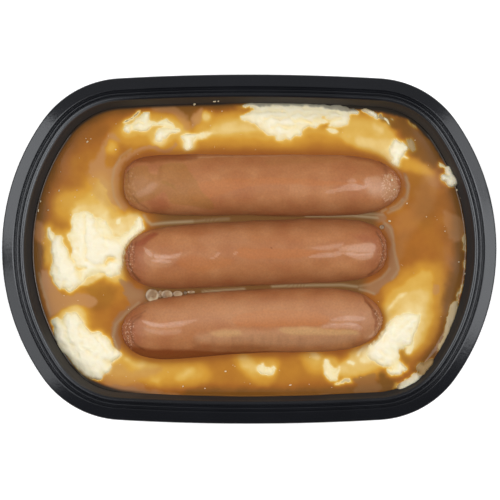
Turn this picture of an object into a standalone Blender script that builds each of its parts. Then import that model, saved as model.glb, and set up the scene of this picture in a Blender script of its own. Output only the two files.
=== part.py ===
"""Bangers and mash as a ready meal: three sausages on mashed potato, in gravy, in a black tray.

Metres, +Z up. The origin lies under the middle of the tray, on the surface that it stands on,
and +X runs along the tray's length. Each piece is one closed solid, and pieces that touch
keep a small gap.
"""

import math

import bmesh
import bpy
from mathutils import Vector

MM = 0.001
CONTACT_GAP = 0.3 * MM

# Tray: moulded in one thin sheet. A quarter of its outline is a long arc, a corner and a short arc.
TRAY_LENGTH = 190.0 * MM
TRAY_WIDTH = 134.3 * MM
TRAY_HEIGHT = 35.0 * MM
SIDE_RADIUS = 867.0 * MM
END_RADIUS = 86.0 * MM
CORNER_RADIUS = 38.3 * MM
SHEET = 0.8 * MM
SIDE_STEPS = 3
CORNER_STEPS = 7
END_STEPS = 6

# Rim: a broad flange that slopes outwards and curls down, a channel, and a rounded inner lip.
FLANGE_WIDTH = 4.9 * MM
FLANGE_DROP = 1.5 * MM
FLANGE_TOP = TRAY_HEIGHT - 0.4 * MM
CURL = 1.7 * MM
CHANNEL_DEPTH = 1.0 * MM
LIP_RADIUS = 1.05 * MM
LIP_INSET = 8.15 * MM
LIP_STEPS = 4

# Wall and floor: a drafted wall, a round foot and a shallow stiffening rib under the floor.
WALL_DRAFT = math.radians(10.0)
FOOT_RADIUS = 8.0 * MM
FOOT_STEPS = 4
RIB_INSET = 24.0 * MM
RIB_WIDTH = 4.0 * MM
RIB_HEIGHT = 0.6 * MM

# Food levels above the surface that the tray stands on.
FOOD_FLOOR = SHEET + RIB_HEIGHT + CONTACT_GAP
MASH_BED = 15.0 * MM
GRAVY_LEVEL = 25.8 * MM
GRAVY_FLOOR = 11.0 * MM
RING_FRACTIONS = (0.17, 0.34, 0.49, 0.62, 0.73, 0.82, 0.89, 0.945, 1.0)
SIDE_LEVELS = 3
PAST_WALL = 2.0 * MM

# Heaps of mash over the bed: a line along each heap's crest, its half width and crest height, in mm.
MASH_HEAPS = {
    "left": ([(-59, 7), (-57, -2)], 17, 28.9),
    "left_wall": ([(-78, 4), (-75, -12)], 9, 27.8),
    "lower_left": ([(-71, -31), (-61, -44)], 16, 29.0),
    "upper_left": ([(-44, 49), (-37, 50)], 8, 27.4),
    "upper_left_knob": ([(-33, 46), (-31, 46)], 6, 27.0),
    "upper_ridge": ([(-23, 43), (-12, 46), (0, 47)], 8, 26.7),
    "upper_middle": ([(5, 50), (14, 53), (34, 51)], 11, 28.8),
    "upper_right": ([(39, 49), (48, 50)], 7, 27.0),
    "right_knob": ([(57, 40), (60, 36)], 9, 28.2),
    "right_wall": ([(78, 31), (79, 27)], 6, 27.6),
    "lower_right": ([(61, -27), (55, -40)], 14, 28.7),
    "right_ridge": ([(71, -9), (61, -21)], 11, 25.2),
    "lower_right_knob": ([(56, -47), (60, -46)], 6, 27.4),
    "lower_middle": ([(4, -46), (8, -47)], 7, 27.0),
    "lower_knob": ([(32, -45), (34, -48)], 8, 27.4),
    "lower_ridge": ([(-46, -46), (-15, -48)], 8, 25.2),
}

# Sausages, in mm: tips of the axis, sideways bow, half width, half height and height of the axis.
# A larger end number makes a blunter end.
SAUSAGES = {
    "sausage_1": ((-48.9, 25.8), (61.0, 25.3), -0.2, 12.5, 11.6, 22.9, 3.8, 1.3),
    "sausage_2": ((-49.3, -4.9), (53.9, -0.4), 1.2, 13.1, 12.1, 22.8, 1.9, 2.6),
    "sausage_3": ((-50.6, -33.6), (54.1, -28.1), 2.5, 13.0, 12.1, 22.8, 1.6, 1.2),
}
SAUSAGE_RINGS = 13
SAUSAGE_SIDES = 16
SAUSAGE_SHOULDER = 7

COLOURS = {
    "tray": ((0.010, 0.010, 0.012), 0.35),
    "mash": ((0.92, 0.86, 0.66), 0.60),
    "gravy": ((0.36, 0.13, 0.025), 0.20),
    "sausage": ((0.43, 0.15, 0.075), 0.30),
}


def clear_scene():
    for old in list(bpy.data.objects):
        bpy.data.objects.remove(old, do_unlink=True)


def material(name):
    colour, roughness = COLOURS[name]
    made = bpy.data.materials.new(name)
    made.use_nodes = True
    shader = made.node_tree.nodes["Principled BSDF"]
    shader.inputs["Base Color"].default_value = (*colour, 1.0)
    shader.inputs["Roughness"].default_value = roughness
    shader.inputs["Metallic"].default_value = 0.0
    return made


def new_object(name, rings, material_made=None, flat_triangles=False):
    """Object from a stack of closed rings of points, with a flat cap on its first and last ring."""
    mesh = bpy.data.meshes.new(name)
    shape = bmesh.new()
    loops = [[shape.verts.new(point) for point in ring] for ring in rings]
    for lower, upper in zip(loops, loops[1:]):
        count = len(lower)
        for i in range(count):
            j = (i + 1) % count
            shape.faces.new((lower[i], lower[j], upper[j], upper[i]))
    shape.faces.new(list(reversed(loops[0])))
    shape.faces.new(loops[-1])
    bmesh.ops.recalc_face_normals(shape, faces=shape.faces)
    if flat_triangles:
        bmesh.ops.triangulate(shape, faces=shape.faces)
    shape.to_mesh(mesh)
    shape.free()
    made = bpy.data.objects.new(name, mesh)
    bpy.context.scene.collection.objects.link(made)
    if material_made:
        mesh.materials.append(material_made)
    return made


def shade(made, angle):
    made.data.shade_smooth()
    made.data.set_sharp_from_angle(angle=math.radians(angle))


def corner_centre():
    """Centre of the corner arc, which touches the side arc and the end arc from inside."""
    side = Vector((0.0, TRAY_WIDTH / 2 - SIDE_RADIUS))
    end = Vector((TRAY_LENGTH / 2 - END_RADIUS, 0.0))
    reach_side = SIDE_RADIUS - CORNER_RADIUS
    reach_end = END_RADIUS - CORNER_RADIUS
    apart = (end - side).length
    along = (reach_side ** 2 - reach_end ** 2 + apart ** 2) / (2 * apart)
    across = math.sqrt(reach_side ** 2 - along ** 2)
    direction = (end - side).normalized()
    return side + along * direction + across * Vector((direction.y, -direction.x))


def outline(inset):
    """Points round the tray at one inset from its outer edge, anticlockwise from +X."""
    corner = corner_centre()
    side = Vector((0.0, TRAY_WIDTH / 2 - SIDE_RADIUS))
    end = Vector((TRAY_LENGTH / 2 - END_RADIUS, 0.0))
    end_angle = math.atan2(corner.y, corner.x - end.x)
    side_angle = math.atan2(corner.y - side.y, corner.x)
    spans = (
        (end, END_RADIUS, 0.0, end_angle, END_STEPS),
        (corner, CORNER_RADIUS, end_angle, side_angle, CORNER_STEPS),
        (side, SIDE_RADIUS, side_angle, math.pi / 2, SIDE_STEPS),
    )
    quarter = []
    for centre, radius, start, stop, steps in spans:
        for k in range(steps):
            angle = start + (stop - start) * k / steps
            quarter.append(centre + (radius - inset) * Vector((math.cos(angle), math.sin(angle))))
    top = Vector((0.0, TRAY_WIDTH / 2 - inset))
    upper_left = [Vector((-p.x, p.y)) for p in reversed(quarter)]
    half = quarter + [top] + upper_left[:-1]
    return half + [-p for p in half]


def ring(inset, height):
    return [(p.x, p.y, height) for p in outline(inset)]


def wall_inset(height):
    """Inset of the wall's inner face at a height, with the round foot below."""
    inset = LIP_INSET + LIP_RADIUS + (TRAY_HEIGHT - 2 * LIP_RADIUS - height) * math.tan(WALL_DRAFT)
    foot_top = SHEET + FOOT_RADIUS
    if height < foot_top:
        drop = min(foot_top - height, FOOT_RADIUS)
        inset += FOOT_RADIUS - math.sqrt(FOOT_RADIUS ** 2 - drop ** 2)
    return inset


def tray_skin():
    """Upper side of the sheet as (inset, height), from the rim's edge to the floor."""
    channel = TRAY_HEIGHT - CHANNEL_DEPTH
    flange_edge = FLANGE_TOP - FLANGE_DROP
    skin = [
        (0.0, flange_edge - CURL),
        (0.1 * CURL, flange_edge - 0.45 * CURL),
        (0.4 * CURL, flange_edge),
        (FLANGE_WIDTH, FLANGE_TOP),
        (FLANGE_WIDTH + 0.5 * CHANNEL_DEPTH, channel),
        (LIP_INSET - LIP_RADIUS, channel),
    ]
    for k in range(1, LIP_STEPS + 1):
        turn = math.pi * (1 - k / LIP_STEPS)
        skin.append((
            LIP_INSET + LIP_RADIUS * math.cos(turn),
            TRAY_HEIGHT - LIP_RADIUS + LIP_RADIUS * math.sin(turn),
        ))
    for k in range(FOOT_STEPS):
        turn = 0.5 * math.pi * k / FOOT_STEPS
        height = SHEET + FOOT_RADIUS * (1 - math.sin(turn))
        skin.append((wall_inset(height), height))
    skin += [
        (wall_inset(SHEET), SHEET),
        (RIB_INSET, SHEET),
        (RIB_INSET + RIB_HEIGHT, SHEET + RIB_HEIGHT),
        (RIB_INSET + RIB_WIDTH - RIB_HEIGHT, SHEET + RIB_HEIGHT),
        (RIB_INSET + RIB_WIDTH, SHEET),
    ]
    return skin


def under_skin(skin):
    """The same line moved to the sheet's lower side, mitred at each corner."""
    moved = []
    for k, point in enumerate(skin):
        here = Vector(point)
        before = (here - Vector(skin[k - 1])).normalized() if k else None
        after = (Vector(skin[k + 1]) - here).normalized() if k + 1 < len(skin) else None
        before = before or after
        after = after or Vector((1.0, 0.0))
        normals = [Vector((d.y, -d.x)) for d in (before, after)]
        mitre = (normals[0] + normals[1]).normalized()
        moved.append(tuple(here + mitre * SHEET / max(mitre.dot(normals[1]), 0.5)))
    return moved


def make_tray():
    skin = tray_skin()
    under = under_skin(skin)
    path = list(reversed(under)) + skin
    tray = new_object("tray", [ring(*point) for point in path], material("tray"))
    shade(tray, 40)
    return tray


def sausage_rings(tip_left, tip_right, bow, half_width, half_height, level, blunt_left, blunt_right, grow):
    """Rings along a bowed axis. The radius stays full until the shoulder and rounds off at each end."""
    left = Vector((*tip_left, level)) * MM
    right = Vector((*tip_right, level)) * MM
    axis = right - left
    left -= axis.normalized() * grow
    right += axis.normalized() * grow
    sideways = Vector((-axis.y, axis.x, 0.0)).normalized()
    middle = (left + right) / 2
    half = (right - left) / 2
    rings = []
    for k in range(1, SAUSAGE_RINGS + 1):
        s = math.sin(math.pi / 2 * (2 * k / (SAUSAGE_RINGS + 1) - 1))
        blunt = blunt_left if s < 0 else blunt_right
        swell = (1 - abs(s) ** SAUSAGE_SHOULDER) ** (1 / blunt)
        centre = middle + half * s + sideways * bow * MM * (1 - s * s)
        slope = -2 * bow * MM * s / half.length
        across = (sideways - half.normalized() * slope).normalized()
        wide = (half_width * MM + grow) * swell
        tall = (half_height * MM + grow) * swell
        turns = [2 * math.pi * i / SAUSAGE_SIDES for i in range(SAUSAGE_SIDES)]
        rings.append([
            centre + across * wide * math.cos(t) + Vector((0.0, 0.0, tall * math.sin(t))) for t in turns
        ])
    return rings, left, right


def make_sausage(name, sizes, grow=0.0, material_made=None):
    rings, left, right = sausage_rings(*sizes, grow)
    made = new_object(name, rings, material_made)
    shape = bmesh.new()
    shape.from_mesh(made.data)
    caps = [face for face in shape.faces if len(face.verts) == SAUSAGE_SIDES]
    for cap in caps:
        tip = left if cap.calc_center_median().x < 0 else right
        poked = bmesh.ops.poke(shape, faces=[cap])
        poked["verts"][0].co = tip
    shape.to_mesh(made.data)
    shape.free()
    shade(made, 60)
    return made


def distance_to_line(x, y, points):
    """Shortest distance in mm from a place to a line of points."""
    place = Vector((x, y))
    best = math.inf
    for start, stop in zip(points, points[1:]):
        a = Vector(start)
        run = Vector(stop) - a
        t = max(0.0, min(1.0, (place - a).dot(run) / run.length_squared))
        best = min(best, (place - a - run * t).length)
    return best


def mash_height(x, y):
    """Top of the mash: the bed, with a flat-topped bump over each heap's crest line."""
    top = MASH_BED
    for points, half_width, crest in MASH_HEAPS.values():
        away = distance_to_line(x / MM, y / MM, points) / half_width
        if away < 1.0:
            top = max(top, MASH_BED + (crest * MM - MASH_BED) * (1 - away ** 4) ** 2)
    return top


def food_side(height, gap=CONTACT_GAP):
    """Ring along the tray's inner wall, at a gap from it."""
    return ring(wall_inset(height) + gap, height)


def mash_top(lift=0.0):
    """Rings over the mash's uneven top, from the tray's wall inwards."""
    edge = []
    for k, (x, y, _) in enumerate(food_side(MASH_BED)):
        height = mash_height(x, y)
        x, y, _ = food_side(height)[k]
        edge.append((x, y, height))
    rings = []
    for fraction in RING_FRACTIONS:
        places = [(x * fraction, y * fraction) for x, y, _ in edge]
        rings.append([(x, y, mash_height(x, y) + lift) for x, y in places])
    rings[-1] = [(x, y, height + lift) for x, y, height in edge]
    return rings[::-1]


def make_mash(material_made):
    """Mash from the tray's floor up its wall and over the uneven top."""
    heights = [FOOD_FLOOR + (MASH_BED - FOOD_FLOOR) * k / SIDE_LEVELS for k in range(SIDE_LEVELS)]
    sides = [food_side(height) for height in heights]
    return new_object("mash", sides + mash_top(), material_made, True)


def make_mash_cutter():
    """What the mash takes from the gravy: its top, raised by the gap and carried past the wall."""
    top = mash_top(1.5 * CONTACT_GAP)
    past_wall = []
    for k, (_, _, height) in enumerate(top[0]):
        x, y, _ = food_side(height, -PAST_WALL)[k]
        past_wall.append((x, y, height))
    bottom = [(x, y, GRAVY_FLOOR - PAST_WALL) for x, y, _ in past_wall]
    return as_cutter(new_object("cut_mash", [bottom, past_wall] + top, None, True))


def make_gravy_block(material_made):
    levels = [GRAVY_FLOOR, (GRAVY_FLOOR + GRAVY_LEVEL) / 2, GRAVY_LEVEL]
    return new_object("gravy", [food_side(level, 2 * CONTACT_GAP) for level in levels], material_made)


def as_cutter(made):
    made.hide_render = True
    made.display_type = "WIRE"
    return made


def largest_body(shape):
    """Keep only the largest connected part of a shape."""
    unseen = set(shape.verts)
    bodies = []
    while unseen:
        front = [unseen.pop()]
        body = set(front)
        while front:
            vert = front.pop()
            for edge in vert.link_edges:
                other = edge.other_vert(vert)
                if other in unseen:
                    unseen.remove(other)
                    body.add(other)
                    front.append(other)
        bodies.append(body)
    bodies.sort(key=len, reverse=True)
    crumbs = [vert for body in bodies[1:] for vert in body]
    bmesh.ops.delete(shape, geom=crumbs, context="VERTS")


def cut(made, cutters):
    """Cut one piece by others and keep what holds together."""
    for cutter in cutters:
        boolean = made.modifiers.new(cutter.name, "BOOLEAN")
        boolean.operation = "DIFFERENCE"
        boolean.solver = "EXACT"
        boolean.object = cutter
    view = bpy.context.evaluated_depsgraph_get()
    finished = bpy.data.meshes.new_from_object(made.evaluated_get(view))
    made.modifiers.clear()
    made.data = finished
    shape = bmesh.new()
    shape.from_mesh(finished)
    largest_body(shape)
    shape.to_mesh(finished)
    shape.free()
    shade(made, 35)


def build():
    clear_scene()
    make_tray()
    sausage_material = material("sausage")
    for name, sizes in SAUSAGES.items():
        make_sausage(name, sizes, material_made=sausage_material)
    beds = [as_cutter(make_sausage(f"cut_{name}", sizes, CONTACT_GAP)) for name, sizes in SAUSAGES.items()]
    mash = make_mash(material("mash"))
    gravy = make_gravy_block(material("gravy"))
    cut(mash, beds)
    cut(gravy, [make_mash_cutter()] + beds)


build()
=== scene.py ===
# Bangers and mash as a ready meal: three sausages on mashed potato, in gravy, in a black plastic tray.
# The dictionaries give sizes in millimetres. Food heights are given from the gravy's surface. Outlines and
# lines run as x, y, x, y.
import math

import bpy
import numpy as np
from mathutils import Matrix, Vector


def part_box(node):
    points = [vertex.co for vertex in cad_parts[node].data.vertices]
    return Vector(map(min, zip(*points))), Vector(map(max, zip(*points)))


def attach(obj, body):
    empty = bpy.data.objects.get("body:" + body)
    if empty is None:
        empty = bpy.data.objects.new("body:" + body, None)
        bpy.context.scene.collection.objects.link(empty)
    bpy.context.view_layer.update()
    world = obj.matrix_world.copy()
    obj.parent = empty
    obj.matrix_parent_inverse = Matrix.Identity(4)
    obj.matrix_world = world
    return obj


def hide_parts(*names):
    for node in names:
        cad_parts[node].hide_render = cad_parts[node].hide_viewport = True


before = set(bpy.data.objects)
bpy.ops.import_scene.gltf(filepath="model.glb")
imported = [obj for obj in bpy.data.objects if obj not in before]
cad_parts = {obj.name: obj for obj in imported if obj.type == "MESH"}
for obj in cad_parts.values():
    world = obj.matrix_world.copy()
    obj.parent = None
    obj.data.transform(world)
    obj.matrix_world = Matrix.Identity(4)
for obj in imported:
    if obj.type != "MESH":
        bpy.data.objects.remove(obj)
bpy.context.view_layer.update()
mm = 0.001
print("frame loaded")


# Small tools that every piece uses

def linear(hexColour):
    # sRGB to linear light: a power of 2.4 above a short straight part
    share = np.array([int(hexColour[i:i + 2], 16) / 255 for i in (1, 3, 5)])
    curved = ((share + 0.055) / 1.055) ** 2.4
    return (*np.where(share <= 0.04045, share / 12.92, curved), 1.0)


def addNode(tree, kind, inputs=None, stops=None, **settings):
    # Adds one node. An input is a value, or a socket or a node (its first output) to link; stops fill a ramp.
    made = tree.nodes.new("ShaderNode" + kind)
    for name, value in settings.items():
        setattr(made, name, value)
    for name, value in (inputs or {}).items():
        if isinstance(value, bpy.types.Node):
            value = value.outputs[0]
        if isinstance(value, bpy.types.NodeSocket):
            tree.links.new(value, made.inputs[name])
        else:
            made.inputs[name].default_value = value
    if stops:
        points = made.color_ramp.elements
        while len(points) < len(stops):
            points.new(1.0)
        for point, (place, hexColour) in zip(points, stops):
            point.position = place
            point.color = linear(hexColour)
    return made


def newMaterial(name):
    # An empty material, and the tree that its nodes go into
    made = bpy.data.materials.new(name)
    made.use_nodes = True
    made.node_tree.nodes.clear()
    return made, made.node_tree


def gridFaces(rows, columns, wrapRows=False, wrapColumns=False):
    # Quads between neighbours on a grid of rows x columns points
    row = np.arange(rows if wrapRows else rows - 1)
    column = np.arange(columns if wrapColumns else columns - 1)
    row, column = np.meshgrid(row, column, indexing="ij")
    below, beside = (row + 1) % rows, (column + 1) % columns
    near, far = row * columns, below * columns
    return np.stack([near + column, near + beside, far + beside, far + column], -1).reshape(-1, 4)


def fanFaces(loop, middle):
    # Triangles from a closed loop of points to one middle point
    return np.stack([loop, np.roll(loop, -1), np.full(len(loop), middle)], -1)


def newPiece(name, points, faces, finish, nodes=(), fields=None):
    # A mesh object in metres, from points in mm, lists of faces, and one value a point for each field
    mesh = bpy.data.meshes.new(name)
    mesh.from_pydata(np.asarray(points) * mm, [], [corner for part in faces for corner in part.tolist()])
    mesh.polygons.foreach_set("use_smooth", np.full(len(mesh.polygons), True))
    for field, values in (fields or {}).items():
        stored = mesh.attributes.new(field, "FLOAT", "POINT").data
        stored.foreach_set("value", np.asarray(values, np.float32).ravel())
    mesh.materials.append(finish)
    mesh.update()
    piece = bpy.data.objects.new(name, mesh)
    bpy.context.scene.collection.objects.link(piece)
    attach(piece, "root")
    if nodes:
        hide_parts(*nodes)
    triangles = int(sum(len(part) * (part.shape[1] - 2) for part in faces))
    print(name, "made,", triangles, "triangles")
    return piece


def smoothStep(low, high, value):
    # 0 below low, 1 above high, and 3t^2 - 2t^3 between
    t = np.clip((value - low) / (high - low), 0, 1)
    return t * t * (3 - 2 * t)


def oneNoise(x, y, z, length, seed):
    # Random heights from -1 to 1 on a cubic net that repeats, blended by the step 6t^5 - 15t^4 + 10t^3.
    # The net is shifted so that no corner of it lies in the middle of the tray.
    size, shift = 64, 23.68
    table = np.random.default_rng(seed).uniform(-1, 1, (size, size, size))
    cell, blend = [], []
    for value in (x, y, z):
        place = np.asarray(value, float) / length + shift
        low = np.floor(place).astype(int)
        t = place - low
        cell.append((low % size, (low + 1) % size))
        blend.append(t * t * t * (t * (6 * t - 15) + 10))
    total = 0.0
    for i in (0, 1):
        for j in (0, 1):
            for k in (0, 1):
                weight = abs(1 - i - blend[0]) * abs(1 - j - blend[1]) * abs(1 - k - blend[2])
                total = total + weight * table[cell[0][i], cell[1][j], cell[2][k]]
    return total


def noise(x, y, z, length, seed, layers=3, fade=0.5):
    # Layers of noise, each half as long as the one before and turned against it
    total, weight = 0.0, 1.0
    for layer in range(layers):
        turn = 0.6 + 1.9 * layer
        u = x * math.cos(turn) - y * math.sin(turn)
        v = x * math.sin(turn) + y * math.cos(turn)
        total = total + weight * oneNoise(u, v, z, length * 0.5**layer, seed + layer)
        weight *= fade
    return total


def smoothClosed(points, steps=6):
    # Closed Catmull-Rom curve through the points of an outline, given as x, y, x, y
    here = np.reshape(points, (-1, 2)).astype(float)
    before, after, later = np.roll(here, 1, 0), np.roll(here, -1, 0), np.roll(here, -2, 0)
    t = (np.arange(steps) / steps)[None, :, None]
    a, b, c, d = (p[:, None, :] for p in (before, here, after, later))
    curve = 2 * b + (c - a) * t + (2 * a - 5 * b + 4 * c - d) * t**2 + (3 * b - a - 3 * c + d) * t**3
    return 0.5 * curve.reshape(-1, 2)


def lineDistance(x, y, line):
    # Distance to the nearest stretch of a line, given as x, y, x, y
    line = np.reshape(line, (-1, 2))
    near = np.full(np.shape(x), np.inf)
    for start, stop in zip(line, line[1:]):
        run = np.subtract(stop, start)
        t = np.clip(((x - start[0]) * run[0] + (y - start[1]) * run[1]) / (run @ run + 1e-9), 0, 1)
        near = np.minimum(near, np.hypot(x - start[0] - t * run[0], y - start[1] - t * run[1]))
    return near


def insideDistance(x, y, curve):
    # Distance to a closed curve, positive inside. A place is inside if a ray from it crosses the curve an odd
    # number of times.
    inside = np.zeros(np.shape(x), bool)
    for start, stop in zip(curve, np.roll(curve, -1, 0)):
        rise = stop[1] - start[1]
        if rise:
            crosses = (start[1] > y) != (stop[1] > y)
            inside ^= crosses & (x < start[0] + (y - start[1]) / rise * (stop[0] - start[0]))
    near = lineDistance(x, y, np.vstack([curve, curve[:1]]))
    return np.where(inside, near, -near)


def patchMask(x, y, patches, edge=0.8):
    # How far places lie in any of the patches, 0 to 1. A patch is (strength, softness, outline).
    mask = np.zeros(np.shape(x))
    for strength, softness, outline in patches:
        curve = smoothClosed(outline)
        reach = softness + edge
        low, high = curve.min(0) - reach, curve.max(0) + reach
        close = (x > low[0]) & (x < high[0]) & (y > low[1]) & (y < high[1])
        if close.any():
            away = insideDistance(x[close], y[close], curve)
            mask[close] = np.maximum(mask[close], strength * smoothStep(-softness, softness, away))
    return mask


# Tray

trayLow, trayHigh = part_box("tray")
tray = {
    "length": (trayHigh.x - trayLow.x) / mm,
    "width": (trayHigh.y - trayLow.y) / mm,
    "height": trayHigh.z / mm,
    "sideRadius": 867.0,
    "endRadius": 86.0,
    "cornerRadius": 38.3,
    "sheet": 0.8,
    "curlWidth": 0.75,
    "curlDrop": 1.7,
    "curlTurn": 66.0,       # degrees
    "flangeWidth": 4.9,
    "flangeTop": 34.62,
    "flangeDrop": 1.5,
    "channelTop": 34.0,
    "channelStep": (4.95, 5.3),   # insets where the step down begins and ends
    "beads": ((5.75, 0.5, 0.26), (6.95, 0.45, 0.24)),   # inset, height and half width
    "lipInset": 8.15,
    "lipRadius": 1.05,
    "draft": 10.0,         # degrees
    "footRadius": 8.0,
    "ribInset": 24.0,
    "ribWidth": 4.0,
    "ribHeight": 0.6,
    "around": 508,
    "film": (  # turns round from +X, and how much dried gravy dulls the wall there
        (0.0, 0.2), (0.04, 0.4), (0.08, 0.9), (0.12, 1.0), (0.16, 1.0), (0.20, 1.0), (0.25, 0.95),
        (0.29, 0.9), (0.33, 0.8), (0.38, 0.6), (0.43, 0.5), (0.47, 0.3), (0.50, 0.2), (0.55, 0.3),
        (0.59, 0.9), (0.62, 1.2), (0.65, 1.0), (0.68, 0.3), (0.72, 0.0), (0.76, 0.0), (0.80, 0.0),
        (0.85, 0.0), (0.90, 0.0), (0.95, 0.1)),
    "paintedSheen": (  # turns round from +X, and how strongly a reflection of the lights is painted pale on the wall's top edge there
        (0.30, 0.0), (0.33, 0.0), (0.355, 0.1), (0.37, 0.8), (0.39, 1.0), (0.41, 1.0), (0.44, 0.8),
        (0.47, 0.5), (0.50, 0.0), (0.55, 0.0), (0.58, 0.3), (0.61, 0.3), (0.64, 0.0), (0.70, 0.0),
        (0.80, 0.0), (0.90, 0.0), (0.0, 0.0), (0.10, 0.1), (0.20, 0.0)),
}


def trayEdge(turns):
    # Outer edge and outward direction at turns 0 to 1 from +X. A quarter is an end arc, a corner arc and a
    # side arc, each touching the next, and equal turns are equal lengths along the rim's inner edge.
    side = np.array([0.0, tray["width"] / 2 - tray["sideRadius"]])
    end = np.array([tray["length"] / 2 - tray["endRadius"], 0.0])
    reachSide = tray["sideRadius"] - tray["cornerRadius"]
    reachEnd = tray["endRadius"] - tray["cornerRadius"]
    apart = np.hypot(*(end - side))
    along = (reachSide**2 - reachEnd**2 + apart**2) / (2 * apart)
    across = math.sqrt(reachSide**2 - along**2)
    run = (end - side) / apart
    corner = side + along * run + across * np.array([run[1], -run[0]])
    angles = np.array([
        0.0,
        math.atan2(corner[1], corner[0] - end[0]),
        math.atan2(corner[1] - side[1], corner[0]),
        math.pi / 2,
    ])
    centres = np.array([end, corner, side])
    radii = np.array([tray["endRadius"], tray["cornerRadius"], tray["sideRadius"]])
    inner = radii - tray["lipInset"]
    starts = np.concatenate([[0.0], np.cumsum(inner * np.diff(angles))])
    turns = np.mod(turns, 1.0)
    quarter = np.minimum(np.floor(turns * 4), 3)
    share = turns * 4 - quarter
    share = np.where(quarter % 2 == 1, 1 - share, share)
    reached = share * starts[-1]
    arc = np.clip(np.searchsorted(starts, reached, side="right") - 1, 0, 2)
    angle = angles[arc] + (reached - starts[arc]) / inner[arc]
    outward = np.stack([np.cos(angle), np.sin(angle)], -1)
    place = centres[arc] + radii[arc][..., None] * outward
    flip = np.stack([np.where((quarter == 1) | (quarter == 2), -1, 1), np.where(quarter >= 2, -1, 1)], -1)
    return place * flip, outward * flip


def wallInset(height):
    # Inset of the wall's inner face: it draws in downwards at the draft angle, and turns into the floor on a
    # quarter circle
    lipFoot = tray["height"] - 2 * tray["lipRadius"]
    inset = tray["lipInset"] + tray["lipRadius"] + (lipFoot - height) * math.tan(math.radians(tray["draft"]))
    drop = np.clip(tray["sheet"] + tray["footRadius"] - height, 0, tray["footRadius"])
    return inset + tray["footRadius"] - np.sqrt(tray["footRadius"]**2 - drop**2)


def traySkin(detail):
    # Upper side of the sheet as (inset, height), from the rim's edge to the floor: part of an ellipse for the
    # curl, a straight flange, a step down into a channel with two bell-shaped beads, most of a circle for the
    # lip, then the wall, its round foot and a floor with a smooth-sided rib
    turn = np.radians(np.linspace(0, tray["curlTurn"], 10))
    edge = tray["flangeTop"] - tray["flangeDrop"]
    height = edge - tray["curlDrop"] + tray["curlDrop"] * np.sin(turn)
    curl = np.stack([tray["curlWidth"] * (1 - np.cos(turn)), height], -1)
    flange = np.linspace(tray["curlWidth"], tray["flangeWidth"], 9)
    fall = (tray["flangeWidth"] - flange) / (tray["flangeWidth"] - tray["curlWidth"])
    flange = np.stack([flange, tray["flangeTop"] - tray["flangeDrop"] * fall], -1)
    lipStart = tray["lipInset"] - tray["lipRadius"]
    channel = np.linspace(tray["flangeWidth"] + 0.08, lipStart, 34 if detail else 8)
    above = 1 - smoothStep(*tray["channelStep"], channel)
    height = tray["channelTop"] + (tray["flangeTop"] - tray["channelTop"]) * above
    if detail:
        for inset, rise, halfWidth in tray["beads"]:
            height = height + rise * np.exp(-((channel - inset) / halfWidth) ** 2)
    channel = np.stack([channel, height], -1)
    turn = np.radians(np.linspace(168, 0, 18))
    lip = np.stack([
        tray["lipInset"] + tray["lipRadius"] * np.cos(turn),
        tray["height"] - tray["lipRadius"] + tray["lipRadius"] * np.sin(turn),
    ], -1)
    lip = lip[lip[:, 1] > tray["channelTop"]] if detail else lip
    levels = np.linspace(tray["height"] - 2 * tray["lipRadius"], tray["sheet"] + tray["footRadius"], 12)
    turn = np.radians(np.linspace(7, 90, 10))
    levels = np.concatenate([levels, tray["sheet"] + tray["footRadius"] * (1 - np.sin(turn))])
    wall = np.stack([wallInset(levels), levels], -1)
    past = tray["ribInset"] + tray["ribWidth"]
    floor = np.linspace(wall[-1, 0] + 1.0, past + 1.5, 18)
    rib = smoothStep(tray["ribInset"], tray["ribInset"] + 1, floor) * (1 - smoothStep(past - 1, past, floor))
    floor = np.stack([floor, tray["sheet"] + tray["ribHeight"] * rib], -1)
    return np.concatenate([curl, flange, channel, lip, wall, floor])


def sheetUnder(skin):
    # The same line moved down by the sheet's thickness, at right angles to it
    run = np.gradient(skin, axis=0)
    run /= np.hypot(run[:, 0], run[:, 1])[:, None]
    under = skin + tray["sheet"] * np.stack([run[:, 1], -run[:, 0]], -1)
    under[:, 1] = np.maximum(under[:, 1], 0.0)
    return under


def makeTray(finish):
    # The sheet's section carried round the tray's outline, and closed by a flat middle above and below
    section = np.concatenate([sheetUnder(traySkin(False))[::-1], traySkin(True)])
    turns = np.arange(tray["around"]) / tray["around"]
    edge, outward = trayEdge(turns)
    flat = edge[None] - section[:, None, :1] * outward[None]
    height = np.broadcast_to(section[:, 1][:, None, None], (*flat.shape[:2], 1))
    points = np.concatenate([flat, height], -1).reshape(-1, 3)
    rows, columns = flat.shape[:2]
    middles = [(0, 0, section[0, 1]), (0, 0, section[-1, 1])]
    loops = np.arange(columns), (rows - 1) * columns + np.arange(columns)
    faces = [
        gridFaces(rows, columns, wrapColumns=True),
        fanFaces(loops[0][::-1], rows * columns),
        fanFaces(loops[1], rows * columns + 1),
    ]
    middleInset = tray["length"] / 2
    fields = {"inset": np.append(np.repeat(section[:, 0], columns), [middleInset, middleInset])}
    for field in ("film", "paintedSheen"):
        fields[field] = np.append(np.tile(roundWall(tray[field], turns), rows), [0.0, 0.0])
    return newPiece("trayShell", np.concatenate([points, middles]), faces, finish, ["tray"], fields)


# Sausages: where they lie, which the mash and the gravy are shaped around

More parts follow.
